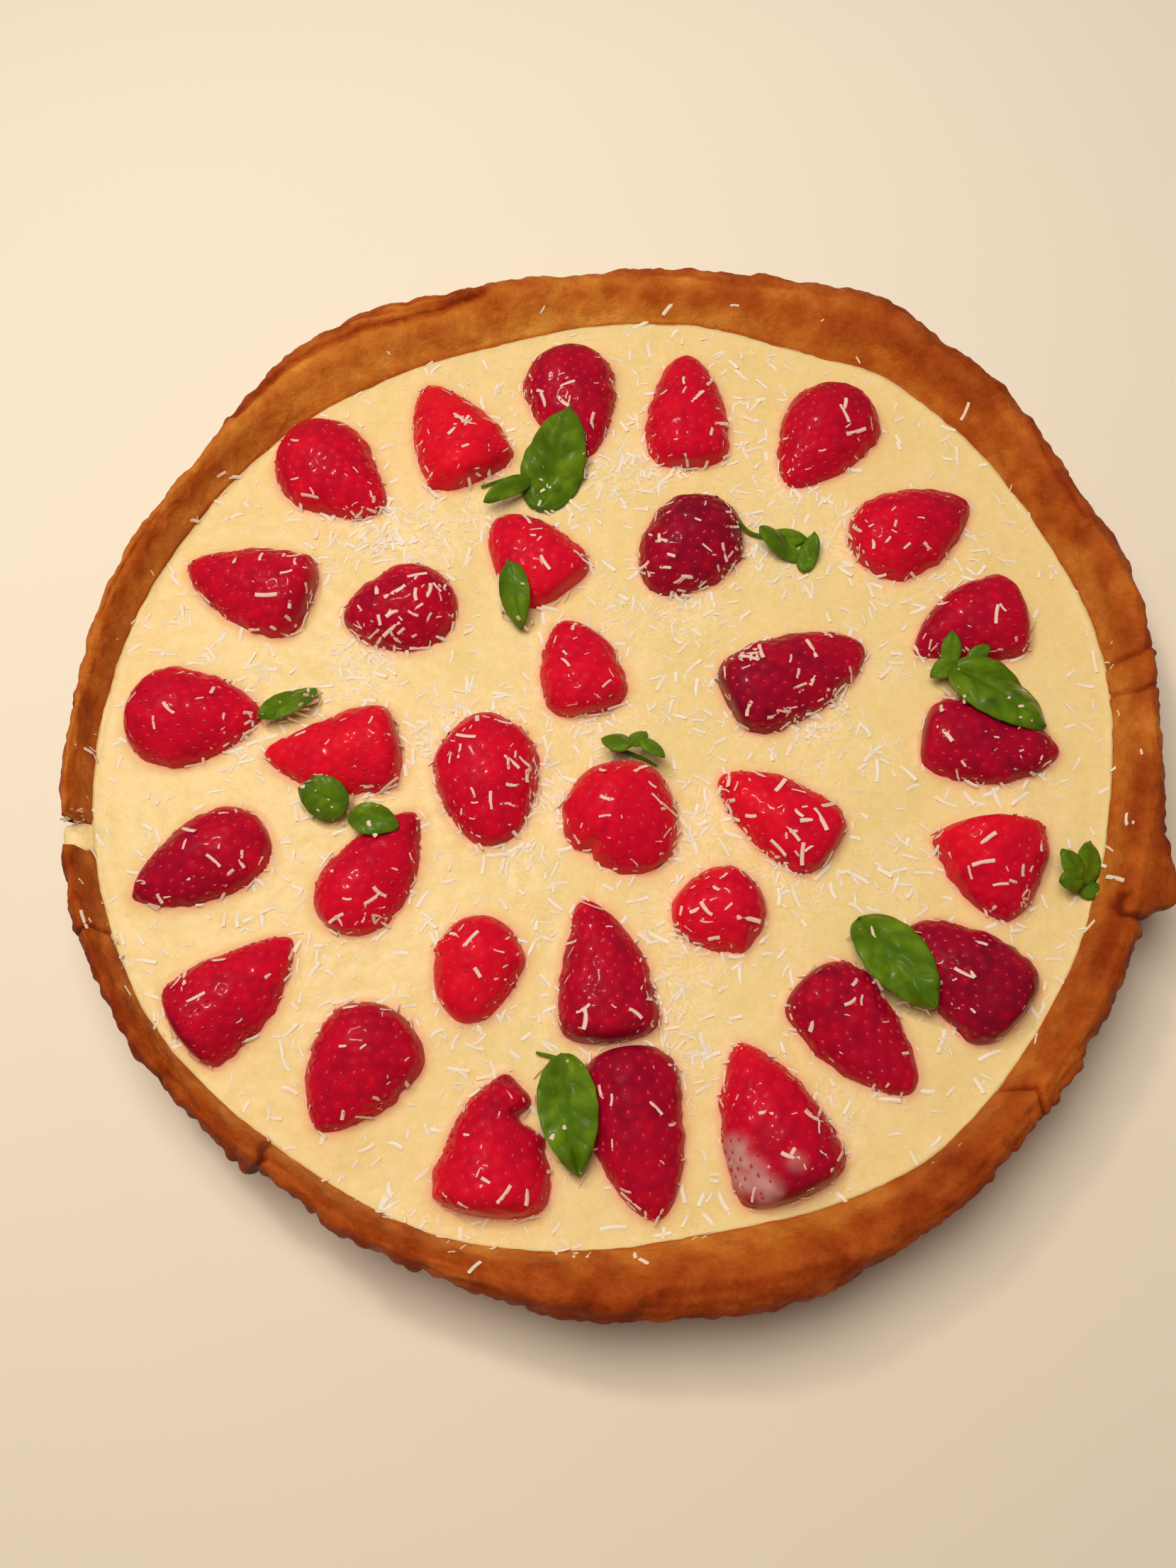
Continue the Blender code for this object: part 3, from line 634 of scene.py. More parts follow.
def rim_relief(points, share_in, inset):
    """Lumps, flakes and folds of the dough: how far the skin stands out, and the shade painted into its
    colour in the creases and between the flakes.
    """
    shape, flat = points.shape[:2], points.reshape(-1, 3)
    on_rim = smooth(WALL_TOP - 4, WALL_TOP + 1, points[..., 2]) * (share_in < 1.02)
    relief = (0.7 * lumps(flat, 16) + 0.7 * lumps(flat, 7, 5.0) + 0.45 * lumps(flat, 3.2, 9.0)
              + 0.22 * lumps(flat, 1.6, 15.0)).reshape(shape)
    relief *= (0.15 + 0.85 * on_rim) * (1 - 0.7 * smooth(0.85, 1.0, share_in))
    run_round = np.radians(ANGLES) * RIM_RADIUS * np.ones(shape)
    flakes = lumps(np.stack([run_round.ravel() / 4, inset.ravel(), flat[:, 2]], axis=-1), 1.3, 30.0)
    flakes = flakes.reshape(shape) * on_rim * smooth(8, 1, inset)
    relief += 0.4 * flakes
    # painted shade: darker in the hollows between flakes and lighter on their tops
    painted_fold_shade = -0.12 * flakes
    wobble = 1 + 0.5 * lumps(flat, 4, 20.0).reshape(shape)
    for line, depth, width, lip in CREASES:
        middle = line[len(line) // 2][0]
        along = np.radians(turn_from(ANGLES, middle)) * RIM_RADIUS * np.ones(shape)
        corners = [(math.radians(turn_from(angle, middle)) * RIM_RADIUS, inward) for angle, inward in line]
        distance, side = near_lines(along, inset, corners)
        lipped = lip * (side < 0) * on_rim
        relief += (lipped * np.exp(-(distance / 3.0) ** 2)
                   - depth * np.exp(-(distance / width) ** 2) * on_rim * wobble)
        # painted shade along each crease groove, and darker on the raised lip beside it
        painted_fold_shade += (0.35 * min(depth, 1) * np.exp(-(distance / (1.4 * width)) ** 2) * on_rim
                   + 0.16 * lipped * np.exp(-(distance / 5.0) ** 2))
    return relief, painted_fold_shade


def cut_break(points):
    """Take away all above the floor of the break, in a gap as wide as the break."""
    away = math.radians(BREAK_ANGLE)
    aside = points[..., 1] * math.cos(away) - points[..., 0] * math.sin(away)
    ahead = points[..., 0] * math.cos(away) + points[..., 1] * math.sin(away)
    half_gap = BREAK_WIDTH / 2 + 0.5 * lumps(points.reshape(-1, 3), 3, 40.0).reshape(aside.shape)
    gone = (np.abs(aside) < half_gap) & (ahead > 100) & (points[..., 2] > BREAK_FLOOR)
    reach = np.hypot(points[..., 0], points[..., 1])
    shrink = np.where(gone, np.minimum(reach, wall_radius(BREAK_FLOOR) - 0.5) / reach, 1)
    points[..., :2] *= shrink[..., None]
    points[..., 2] = np.where(gone, BREAK_FLOOR, points[..., 2])


def browning_and_painted_light(points, share_in, pressed, painted_fold_shade):
    """How brown each place is, and the painted light on it: dark on outer edges, straw on the slope down to
    the cream, with painted shade in the folds, in the flute grooves on the edge and on the left and near
    sides, and a painted highlight on the upper left edge.
    """
    flat = points.reshape(-1, 3)
    patches = (lumps(flat, 22, 60.0) * 0.16 + lumps(flat, 8, 70.0) * 0.18).reshape(share_in.shape)
    inward = smooth(0.35, 0.7, share_in)
    turned = around(EDGE_BROWNING_AND_HIGHLIGHT, ANGLES) * (1 - inward) + around(SLOPE_BROWNING, ANGLES) * inward
    # painted shade: darker towards the left (-X) and the near side (-Y)
    painted_side_shade = 0.12 * smooth(60, 130, -points[..., 0]) + 0.08 * smooth(60, 130, -points[..., 1])
    # the last term is painted shade in the flute grooves where they run up onto the edge
    rim = (0.46 + 0.15 * smooth(0.35, -0.05, share_in) - 0.26 * smooth(0.5, 0.9, share_in)
           + patches + painted_fold_shade + painted_side_shade + turned + 0.35 * pressed * (points[..., 2] > WALL_TOP))
    return np.where(points[..., 2] < WALL_TOP, WALL_BAKE + patches, rim)


def make_case(finish):
    """The case, closed underneath and inside. Returns its vertices and faces."""
    profile, share_in, inset, pressed = case_profile()
    points = ring(profile[..., 0], np.radians(ANGLES), profile[..., 1])
    side = np.roll(points, -1, axis=1) - np.roll(points, 1, axis=1)
    outward = np.cross(side, np.gradient(points, axis=0))
    outward /= np.linalg.norm(outward, axis=-1, keepdims=True) + TINY
    relief, painted_fold_shade = rim_relief(points, share_in, inset)
    points += outward * relief[..., None]
    cut_break(points)
    bake = browning_and_painted_light(points, share_in, pressed, painted_fold_shade)
    points = points.clip(*[np.array(corner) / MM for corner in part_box("crust")])

    turns = turns_round(FLUTES)
    under = [ring(radius, turns, 0) for radius in (0.5, 40, 80, 110, BASE_RADIUS - BASE_CHAMFER)]
    stack = under + list(points) + [ring(0.5, turns, FLOOR_THICKNESS)]
    vertices, faces = np.concatenate(stack), closed_stack([len(row) for row in stack])
    bake = np.concatenate([np.full(len(under) * FLUTES, UNDER_BAKE), bake.ravel(),
                           np.full(FLUTES, FLOOR_BAKE)])
    add_smooth_piece("pastry_case", vertices, faces, finish, "crust", "crust", bake=bake)
    return vertices, faces


# --- the strawberry halves ------------------------------------------------------------------------
def girth(along, cut):
    """Half width of a cut, as a share of its most, from the tip at 0 to the stalk end at 1."""
    widest, opening, squareness = CUTS[cut]
    along = np.clip(along, 0, 1)
    towards_tip = np.sin(np.pi / 2 * np.minimum(along / widest, 1)) ** opening
    past = np.maximum(along - widest, 0) / (1 - widest)
    return np.where(along < widest, towards_tip, (1 - past ** squareness) ** (1 / squareness))


def berry_surface(number, along, lift):
    """Points on a half's skin in its own frame, tip towards +X, and its cut edge at zero height."""
    _, length, width, cut, bend, *_ = STRAWBERRIES[number - 1]
    along, lift = np.broadcast_arrays(np.asarray(along, float), np.asarray(lift, float))
    share = girth(along, cut)
    spread = share * width / 2 * np.cos(lift)
    for berry, side, place, depth, reach in BITES:
        if berry == number:
            bitten = depth * np.exp(-((along - place) / reach) ** 2)
            spread = np.where(spread * side > 0, spread * (1 - bitten), spread)
    wobble = lumps(np.stack([along * length, np.sign(np.cos(lift)) * 9 + 0 * along,
                             0 * along + 13 * number], axis=-1).reshape(-1, 3), 3.2).reshape(along.shape)
    spread = spread * (1 + 0.06 * wobble)
    shift = bend * length * np.maximum(0.55 - along, 0) ** 2
    height = DOME * width * share ** 0.8 * np.sin(lift)
    return np.stack([length * (0.5 - along), shift + spread, height], axis=-1)


def berry_place(number):
    """Where a half's own frame sits, from its solid's box in the model."""
    heading = math.radians(STRAWBERRIES[number - 1][0])
    spin = np.array([[math.cos(heading), math.sin(heading), 0],
                     [-math.sin(heading), math.cos(heading), 0], [0, 0, 1]])
    low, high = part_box(f"strawberry_{number:02d}")
    along = np.linspace(0, 1, 60)
    outline = np.concatenate([berry_surface(number, along, lift) for lift in (0.0, math.pi)]) @ spin
    middle = (outline.min(axis=0) + outline.max(axis=0)) / 2
    place = np.array([(low.x + high.x) / 2, (low.y + high.y) / 2, low.z]) / MM
    return spin, np.array([place[0] - middle[0], place[1] - middle[1], place[2]])


def make_berry(number, finish, stations=84, steps=60):
    """One half: skin with a dimple for each seed. Returns its outline, its seeds and its mesh."""
    _, length, width, cut, _, tip_ripeness, stalk_ripeness = STRAWBERRIES[number - 1]
    spin, place = berry_place(number)
    even = np.linspace(0, 1, stations)
    along = 0.45 * even + 0.55 * (0.5 - 0.5 * np.cos(np.pi * even))
    lift = np.linspace(0, np.pi, steps)
    along_grid, lift_grid = np.meshgrid(along, lift, indexing="ij")
    skin = berry_surface(number, along_grid, lift_grid)

    # Seeds wind round the whole berry at the golden angle, evenly spaced. The half keeps the upper ones.
    rng = np.random.default_rng(700 + number)
    count = int(2 * np.pi * width / 2 * length * 0.72 / SEED_SPACING ** 2)
    area = np.cumsum(girth(even, cut) + 0.15)
    seed_along = np.interp((np.arange(count) + 0.5) / count * area[-1], area, even)
    seed_along = np.clip(seed_along + rng.normal(0, 0.006, count), 0.03, 0.93)
    seed_lift = np.arange(count) * math.radians(GOLDEN_ANGLE) + rng.normal(0, 0.06, count)
    seed_lift %= 2 * np.pi
    upper = (seed_lift > CLEAR_OF_CUT) & (seed_lift < np.pi - CLEAR_OF_CUT)
    seed_along, seed_lift = seed_along[upper], seed_lift[upper]
    seeds = berry_surface(number, seed_along, seed_lift)
    step = 0.01
    toward_tip = berry_surface(number, seed_along - step, seed_lift) - seeds
    sideways = berry_surface(number, seed_along, seed_lift + step) - seeds
    seed_out = np.cross(sideways, toward_tip)
    seed_out /= np.linalg.norm(seed_out, axis=1, keepdims=True)
    toward_tip /= np.linalg.norm(toward_tip, axis=1, keepdims=True)

    outward = np.cross(np.gradient(skin, axis=0), np.gradient(skin, axis=1))
    outward /= np.linalg.norm(outward, axis=-1, keepdims=True) + 1e-9
    outward[0], outward[-1] = (1, 0, 0), (-1, 0, 0)
    flat = skin.reshape(-1, 3)
    distance2 = ((flat[:, None, :] - seeds[None, :, :]) ** 2).sum(axis=2)
    dimple = np.exp(-distance2 / DIMPLE_RADIUS ** 2).max(axis=1)
    depth = DIMPLE_DEPTH * rng.uniform(0.75, 1.25)
    relief = 0.55 * lumps(flat + 31 * number, 9) + 0.22 * lumps(flat + 17 * number, 3.5) - depth * dimple
    relief = relief.reshape(skin.shape[:2])
    ends = smooth(0, 0.05, along_grid) * smooth(1, 0.97, along_grid)
    skin = skin + outward * (relief * ends)[..., None]
    skin[..., 2] = np.maximum(skin[..., 2], 0)

    ripeness = tip_ripeness + (stalk_ripeness - tip_ripeness) * along_grid
    ripeness = ripeness - 0.10 * (1 - np.sin(lift_grid)) + 0.06 - 0.2 * dimple.reshape(along_grid.shape)
    flesh = 0.12 * smooth(0.985, 1.0, along_grid)
    for berry, x, y, reach, strength in PALE_PATCHES:
        if berry == number:
            placed = skin @ spin + place
            gap2 = (placed[..., 0] - x) ** 2 + (placed[..., 1] - y) ** 2
            uneven = 0.9 + 0.6 * lumps(placed.reshape(-1, 3), 2.5).reshape(gap2.shape)
            flesh = np.clip(flesh + strength * uneven * np.exp(-(gap2 / reach ** 2) ** 2), 0, 0.9)
    # The skirt under the cut edge, sunk in the cream: each row of skin closed round by a strip below.
    skirted, ripe, pale = [np.concatenate([values[:, :1], values, values[:, -1:]], axis=1)
                           for values in (skin, ripeness, flesh)]
    skirted[:, [0, -1], 2] -= SUNK
    vertices = skirted.reshape(-1, 3) @ spin + place
    faces = flip_faces(closed_stack([steps + 2] * stations))
    add_smooth_piece(f"strawberry_half_{number:02d}", vertices, faces, finish, "strawberry",
                     f"strawberry_{number:02d}", ripeness=ripe.ravel(), flesh=pale.ravel())
    edge = np.concatenate([skin[:, 0], skin[::-1, -1]]) @ spin + place
    seeds = (seeds - seed_out * (0.80 * depth)) @ spin + place
    return edge[:, :2], (seeds, seed_out @ spin, toward_tip @ spin), (vertices, faces)


# --- the cream ------------------------------------------------------------------------------------
def strewn_at(spots):
    """How thickly the shavings lie at plan points: patchy, with drifts, thinner towards the case."""
    flat = np.c_[spots, np.zeros(len(spots))]
    thick = 0.75 + 0.9 * lumps(flat, 18, 80.0) + 0.5 * lumps(flat, 8, 90.0)
    thick *= 1 - 0.45 * smooth(85, 118, np.hypot(*spots.T))
    for x, y, reach, strength in DRIFTS:
        thick += strength * np.exp(-((spots[:, 0] - x) ** 2 + (spots[:, 1] - y) ** 2) / reach ** 2)
    return thick


def distance_to_outline(points, outline):
    """Distance of points in plan from a closed outline, negative inside it."""
    x, y = points.T
    corners = [*outline, outline[0]]
    inside = np.zeros(len(points), bool)
    for (x0, y0), (x1, y1) in zip(corners, corners[1:]):
        crossing = x0 + (y - y0) / (y1 - y0 if y1 != y0 else TINY) * (x1 - x0)
        inside ^= ((y0 > y) != (y1 > y)) & (x < crossing)
    best, _ = near_lines(x, y, corners)
    return np.where(inside, -best, best)


def make_run(stations=26, steps=22):
    """The cream that has run out through the break: a loaf of it, wider where it has come out."""
    turn = math.radians(BREAK_ANGLE)
    out = np.array((math.cos(turn), math.sin(turn), 0))
    aside = np.array((-math.sin(turn), math.cos(turn), 0))
    points = []
    for t in np.linspace(0, 1, stations):
        radius = RUN_INNER + (RUN_OUTER + 0.3 - RUN_INNER) * t
        end = math.sqrt(1 - max(0, (t - 0.86) / 0.14) ** 2) if t < 1 else 0.05
        half = (2.9 + 1.2 * smooth(0.1, 0.6, t)) * (0.55 + 0.45 * end)
        low, high = BREAK_FLOOR + 0.35, CREAM_TOP - 0.7 + 2.2 * smooth(0.1, 0.6, t)
        for angle in turns_round(steps):
            side, lift = [math.copysign(abs(c) ** 0.6, c) for c in (math.cos(angle), math.sin(angle))]
            z = (low + high) / 2 + (high - low) / 2 * lift * (0.4 + 0.6 * end)
            points.append(out * radius + aside * (half * side - 0.2) + np.array((0, 0, z)))
    points = np.array(points)
    points[:, 2] += 0.3 * lumps(points, 2.5, 50.0)
    return points, flip_faces(closed_stack([steps] * stations))


def make_cream(finish, outlines):
    """The filling: level, softly uneven, drawn up where it meets fruit and case. Returns its mesh."""
    rings = [ring(radius, turns_round(CREAM_SPOKES // share))
             for share, radii in ((16, [1.2]), (8, range(3, 16, 2)), (4, range(17, 40, 2)),
                                  (2, np.arange(41, 64, 1.5)), (1, np.arange(65, 118.5, 1.2)))
             for radius in radii]
    angles = np.arange(CREAM_SPOKES) * 360 / CREAM_SPOKES
    edge, turns = around(CREAM_EDGE, angles), np.radians(angles)
    rings += [ring(LEVEL_RADIUS + (edge + 0.4 - LEVEL_RADIUS) * share, turns)
              for share in np.linspace(0, 1, 13)[1:]]
    plan = np.concatenate(rings)
    nearest = np.full(len(plan), FAR_AWAY)
    for outline in outlines:
        close = np.hypot(*(plan - outline.mean(axis=0)).T) < 32
        nearest[close] = np.minimum(nearest[close], distance_to_outline(plan[close], outline[::4]))

    # Drawn up a little where it meets fruit and case, and lower under the fruit.
    spots = np.c_[plan, np.zeros(len(plan))]
    wall_gap = around(CREAM_EDGE, np.degrees(np.arctan2(plan[:, 1], plan[:, 0]))) - np.hypot(*plan.T)
    at_fruit = np.exp(-np.maximum(nearest, 0) / JUICE_REACH)
    height = (CREAM_TOP - 0.1 + 0.5 * lumps(spots, 24) + 0.35 * lumps(spots, 9, 3.0)
              + 0.22 * lumps(spots, 3.2, 8.0) + 0.9 * at_fruit
              + 0.7 * np.exp(-np.maximum(wall_gap, 0) / 1.2))
    height = np.where(nearest < -0.8, CREAM_TOP - 0.4, height)

    # Down the inside of the case to its floor, and the run of cream in the break as a second body.
    lip = ring(edge, turns, CREAM_TOP - 1.5)
    low = ring(FLOOR_RADIUS - 0.3, turns_round(CREAM_SPOKES // 4), FLOOR_THICKNESS + 0.3)
    filling = [np.c_[plan, height], lip, low]
    faces = flip_faces(closed_stack([len(row) for row in rings + filling[1:]]))
    run, run_faces = make_run()
    faces += shift_faces(run_faces, sum(len(part) for part in filling))
    vertices = np.concatenate(filling + [run])
    juice = np.concatenate([0.75 * at_fruit, np.zeros(len(vertices) - len(plan))])
    strewn = 0.5 * np.clip(strewn_at(vertices[:, :2]), 0.5, 1.8)
    add_smooth_piece("custard_filling", vertices, faces, finish, "cream", "cream", juice=juice,
                     strewn=strewn)
    return vertices, faces


# --- the basil ------------------------------------------------------------------------------------
def make_blade(stalk, run, width, quilting, tops, rows=64, columns=33):
    """A blade that rests on what is under it and is quilted between its veins: points, and the painted
    shade along its vein valleys.
    """
    stalk, length = np.array(stalk, float), math.hypot(*run)
    ahead = np.array(run) / length
    aside = np.array((-ahead[1], ahead[0]))
    along, across = np.meshgrid(np.linspace(0, 1, rows), np.linspace(-1, 1, columns), indexing="ij")
    fullness, rounded, pointed = LEAF_FULLNESS
    half = width / 2 * np.sin(np.pi * along ** fullness).clip(0) ** (rounded + pointed * along)
    scallop = 1 + 0.012 * np.sin(along * 37 + 2 * np.sign(across))
    plan = (stalk + ahead * (length * along)[..., None] + aside * (half * across * scallop)[..., None])

    # It is held up by the highest skin near it, and sags away from there.
    reach = min(LEAF_REACH, 0.6 * length + 4)
    steps = np.linspace(-reach, reach, 21)
    spots = (stalk + ahead * length / 2 + ahead * steps[:, None, None] + aside * steps[None, :, None])
    held = np.maximum(heights_at(spots.reshape(-1, 2), tops), CREAM_TOP)
    distance2 = ((plan.reshape(-1, 1, 2) - spots.reshape(1, -1, 2)) ** 2).sum(axis=2)
    under = (held - LEAF_STIFFNESS * distance2).max(axis=1).reshape(along.shape)

    # Side veins sweep forward from the rib, and the blade swells between them.
    spacing = length / 4.3
    from_middle = np.abs(across) * half
    swept = along * length - 0.5 * from_middle - 0.9 * from_middle ** 2 / width
    gap = (swept / spacing) % 1
    between = 1 - (2 * gap - 1) ** 2
    from_rib = 1 - np.exp(-(across * half / (0.07 * width)) ** 2)
    to_edge = 1 - np.abs(across) ** 3
    quilt = between ** 0.8 * from_rib * to_edge
    fold = np.cos(4.5 * across + 5 * along + stalk[0]) * (1 - across ** 2)
    points = np.concatenate([plan, (under + LEAF_CLEARANCE + 0.09 * width * (1 - across ** 2)
                                    + width * quilting * (0.05 * quilt + 0.035 * fold)
                                    - 0.10 * width * smooth(0.8, 1.0, along))[..., None]], axis=-1)
    vein = 1 - np.minimum(between ** 0.5, from_rib) * np.ones_like(along)
    return points, vein * smooth(1.0, 0.7, np.abs(across))


def blade_faces(points, rows, columns):
    """Faces of a blade that look up, whichever way its grid runs."""
    faces = grid_faces(rows, columns)
    a, b, c = points[rows // 2, columns // 2], points[rows // 2, -1], points[-1, columns // 2]
    return faces if np.cross(b - a, c - a)[2] < 0 else flip_faces(faces)


def thicken(piece, thickness):
    """Give a sheet its thickness, evenly to both sides."""
    solid = piece.modifiers.new("thickness", "SOLIDIFY")
    solid.thickness = thickness * MM
    solid.offset = 0


def make_leaf(number, finish, tops):
    """One large leaf over the middle of its solid's box. Returns its points."""
    run_x, run_y, width, quilting = BASIL_LEAVES[number - 1]
    low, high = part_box(f"basil_leaf_{number:02d}")
    middle = np.array([(low.x + high.x) / 2, (low.y + high.y) / 2]) / MM
    flat, _ = make_blade((0, 0), (run_x, run_y), width, 0, BVHTree.FromPolygons([], []))
    plan = flat[..., :2].reshape(-1, 2)
    stalk = middle - (plan.min(axis=0) + plan.max(axis=0)) / 2
    points, vein = make_blade(stalk, (run_x, run_y), width, quilting, tops)
    faces = blade_faces(points, *points.shape[:2])
    piece = add_smooth_piece(f"basil_{number:02d}", points.reshape(-1, 3), faces, finish, "leaf",
                             f"basil_leaf_{number:02d}", vein=vein.ravel())
    thicken(piece, LEAF_THICKNESS)
    return points


def make_leaflets(finish, tops):
    """The small leaves, all in one piece."""
    vertices, faces, veins = [], [], []
    for x0, y0, x1, y1, width in LEAFLETS:
        points, vein = make_blade((x0, y0), (x1 - x0, y1 - y0), width, 1.0, tops, *LEAFLET_GRID)
        faces += shift_faces(blade_faces(points, *LEAFLET_GRID), len(vertices))
        vertices += points.reshape(-1, 3).tolist()
        veins += vein.ravel().tolist()
    piece = add_smooth_piece("basil_leaflets", vertices, faces, finish, "leaf", vein=veins)
    thicken(piece, LEAF_THICKNESS)


def make_stalks(finish, tops, sides=8):
    """The stalks, round and tapering, lying on the cream and the fruit."""
    vertices, faces = [], []
    for corners in STALKS:
        corners = np.array(corners, float)
        t = np.linspace(0, len(corners) - 1, 5 * len(corners))
        plan = np.stack([np.interp(t, np.arange(len(corners)), values) for values in corners.T], axis=-1)
        for _ in range(3):
            plan[1:-1] = 0.25 * plan[:-2] + 0.5 * plan[1:-1] + 0.25 * plan[2:]
        height = np.maximum(heights_at(plan, tops), CREAM_TOP) + 0.9
        for _ in range(4):
            height[1:-1] = (height[:-2] + 2 * height[1:-1] + height[2:]) / 4
        along = np.gradient(plan, axis=0)
        along /= np.linalg.norm(along, axis=1, keepdims=True)
        aside = np.stack([-along[:, 1], along[:, 0]], axis=-1)
        faces += shift_faces(flip_faces(closed_stack([sides] * len(plan))), len(vertices))
        for i, (place, z) in enumerate(zip(plan, height)):
            thick = STALK_RADIUS * (1 - 0.45 * i / len(plan))
            for turn in turns_round(sides):
                vertices.append((*(place + aside[i] * thick * math.cos(turn)), z + thick * math.sin(turn)))
    add_smooth_piece("basil_stalks", vertices, faces, finish, "leaf", vein=np.zeros(len(vertices)))


# --- seeds and shavings, by geometry nodes --------------------------------------------------------
def grow(name, bed, build, finish, slot, **sizes):
    """Run a node tree on a bed and keep what it makes as a plain piece, with crisp facets."""
    tree = bpy.data.node_groups.new(name, "GeometryNodeTree")
    tree.interface.new_socket("Bed", in_out="INPUT", socket_type="NodeSocketGeometry")
    sockets = {}
    for size, value in sizes.items():
        kind = "NodeSocketInt" if isinstance(value, int) else "NodeSocketFloat"
        sockets[size] = tree.interface.new_socket(size, in_out="INPUT", socket_type=kind)
    tree.interface.new_socket("Geometry", in_out="OUTPUT", socket_type="NodeSocketGeometry")
    source = tree.nodes.new("NodeGroupInput")
    made = build(tree, source.outputs)
    real = add_node(tree, "GeometryNodeRealizeInstances", {"Geometry": made}).outputs[0]
    done = add_node(tree, "GeometryNodeSetMaterial", {"Geometry": real, "Material": finish}).outputs[0]
    add_node(tree, "NodeGroupOutput", {"Geometry": done})

    modifier = bed.modifiers.new(name, "NODES")
    modifier.node_group = tree
    for size, value in sizes.items():
        modifier[sockets[size].identifier] = value
    evaluated = bed.evaluated_get(bpy.context.evaluated_depsgraph_get())
    mesh = bpy.data.meshes.new_from_object(evaluated)
    mesh.shade_flat()
    bpy.data.objects.remove(bed)
    add_piece(name, mesh)


def seed_tree(tree, size):
    """A husk lying along the fruit at every point of the bed."""
    husk = add_node(tree, "GeometryNodeMeshUVSphere", {"Segments": 6, "Rings": 4, "Radius": 1.0})
    scale = add_node(tree, "ShaderNodeCombineXYZ", {"X": size["Length"], "Y": size["Width"],
                                                    "Z": size["Height"]}).outputs[0]
    husk = add_node(tree, "GeometryNodeTransform", {"Geometry": husk.outputs["Mesh"], "Scale": scale})
    out = add_node(tree, "GeometryNodeInputNamedAttribute", {"Name": "out"}, data_type="FLOAT_VECTOR")
    toward = add_node(tree, "GeometryNodeInputNamedAttribute", {"Name": "toward"},
                      data_type="FLOAT_VECTOR")
    turned = add_node(tree, "FunctionNodeAxesToRotation", {
        0: out.outputs["Attribute"], 1: toward.outputs["Attribute"]}, primary_axis="Z", secondary_axis="X")
    uneven = add_node(tree, "FunctionNodeRandomValue", {2: 0.75, 3: 1.2, "Seed": size["Seed"]},
                      data_type="FLOAT").outputs[1]
    spots = add_node(tree, "GeometryNodeMeshToPoints", {"Mesh": size["Bed"]}).outputs[0]
    return add_node(tree, "GeometryNodeInstanceOnPoints", {
        "Points": spots, "Instance": husk.outputs[0], "Rotation": turned.outputs[0], "Scale": uneven,
    }).outputs[0]


def shaving_tree(tree, size):
    """Curled slivers of three shapes, thrown on the bed by its density and lying as they fell."""
    kinds = add_node(tree, "GeometryNodeGeometryToInstance")
    for sweep, share, turns in ((16, 1.0, 6), (38, 0.75, 6), (8, 0.5, 4)):
        across = math.radians(sweep)
        radius = add_node(tree, "ShaderNodeMath", {0: size["Length"], 1: share / across},
                          operation="MULTIPLY").outputs[0]
        arc = add_node(tree, "GeometryNodeCurveArc", {
            "Resolution": turns, "Radius": radius, "Start Angle": math.pi / 2 - across / 2,
            "Sweep Angle": across}).outputs[0]
        down = add_node(tree, "ShaderNodeMath", {0: radius, 1: -1.0}, operation="MULTIPLY").outputs[0]
        centred = add_node(tree, "GeometryNodeTransform", {
            "Geometry": arc,
            "Translation": add_node(tree, "ShaderNodeCombineXYZ", {"Y": down}).outputs[0]}).outputs[0]
        place = add_node(tree, "GeometryNodeSplineParameter").outputs["Factor"]
        taper = add_node(tree, "ShaderNodeFloatCurve", {"Value": place})
        points = taper.mapping.curves[0].points
        points[0].location, points[1].location = (0, 0.1), (1, 0.3)
        points.new(0.4, 1.0)
        points.new(0.8, 0.8)
        taper.mapping.update()
        shaped = add_node(tree, "GeometryNodeSetCurveRadius", {
            "Curve": centred, "Radius": taper.outputs[0]}).outputs[0]
        section = add_node(tree, "GeometryNodeCurvePrimitiveCircle", {"Resolution": 4, "Radius": 1.0})
        flat = add_node(tree, "GeometryNodeTransform", {
            "Geometry": section.outputs["Curve"],
            "Scale": add_node(tree, "ShaderNodeCombineXYZ", {
                "X": size["Width"], "Y": size["Thickness"], "Z": 1.0}).outputs[0]}).outputs[0]
        sliver = add_node(tree, "GeometryNodeCurveToMesh", {
            "Curve": shaped, "Profile Curve": flat, "Fill Caps": True}).outputs[0]
        tree.links.new(sliver, kinds.inputs[0])

    thick = add_node(tree, "GeometryNodeInputNamedAttribute", {"Name": "density"}, data_type="FLOAT")
    density = add_node(tree, "ShaderNodeMath", {0: thick.outputs["Attribute"], 1: size["Density"]},
                       operation="MULTIPLY").outputs[0]
    thrown = add_node(tree, "GeometryNodeDistributePointsOnFaces", {
        "Mesh": size["Bed"], "Density": density, "Seed": size["Seed"]}, distribute_method="RANDOM")
    spin = add_node(tree, "FunctionNodeRandomValue", {0: (-0.14, -0.14, 0.0), 1: (0.14, 0.14, 6.283),
                                                      "Seed": size["Seed"]}, data_type="FLOAT_VECTOR")
    lying = add_node(tree, "FunctionNodeRotateRotation", {
        "Rotation": thrown.outputs["Rotation"], "Rotate By": spin.outputs[0]}, rotation_space="LOCAL")
    uneven = add_node(tree, "FunctionNodeRandomValue", {2: 0.48, 3: 1.15, "Seed": size["Seed"]},
                      data_type="FLOAT").outputs[1]
    uneven = add_node(tree, "ShaderNodeMath", {0: uneven, 1: 1.8}, operation="POWER").outputs[0]
    which = add_node(tree, "FunctionNodeRandomValue", {4: 0, 5: 2, "Seed": size["Seed"]},
                     data_type="INT").outputs[2]
    return add_node(tree, "GeometryNodeInstanceOnPoints", {
        "Points": thrown.outputs["Points"], "Instance": kinds.outputs[0], "Pick Instance": True,
        "Instance Index": which, "Rotation": lying.outputs[0], "Scale": uneven}).outputs[0]


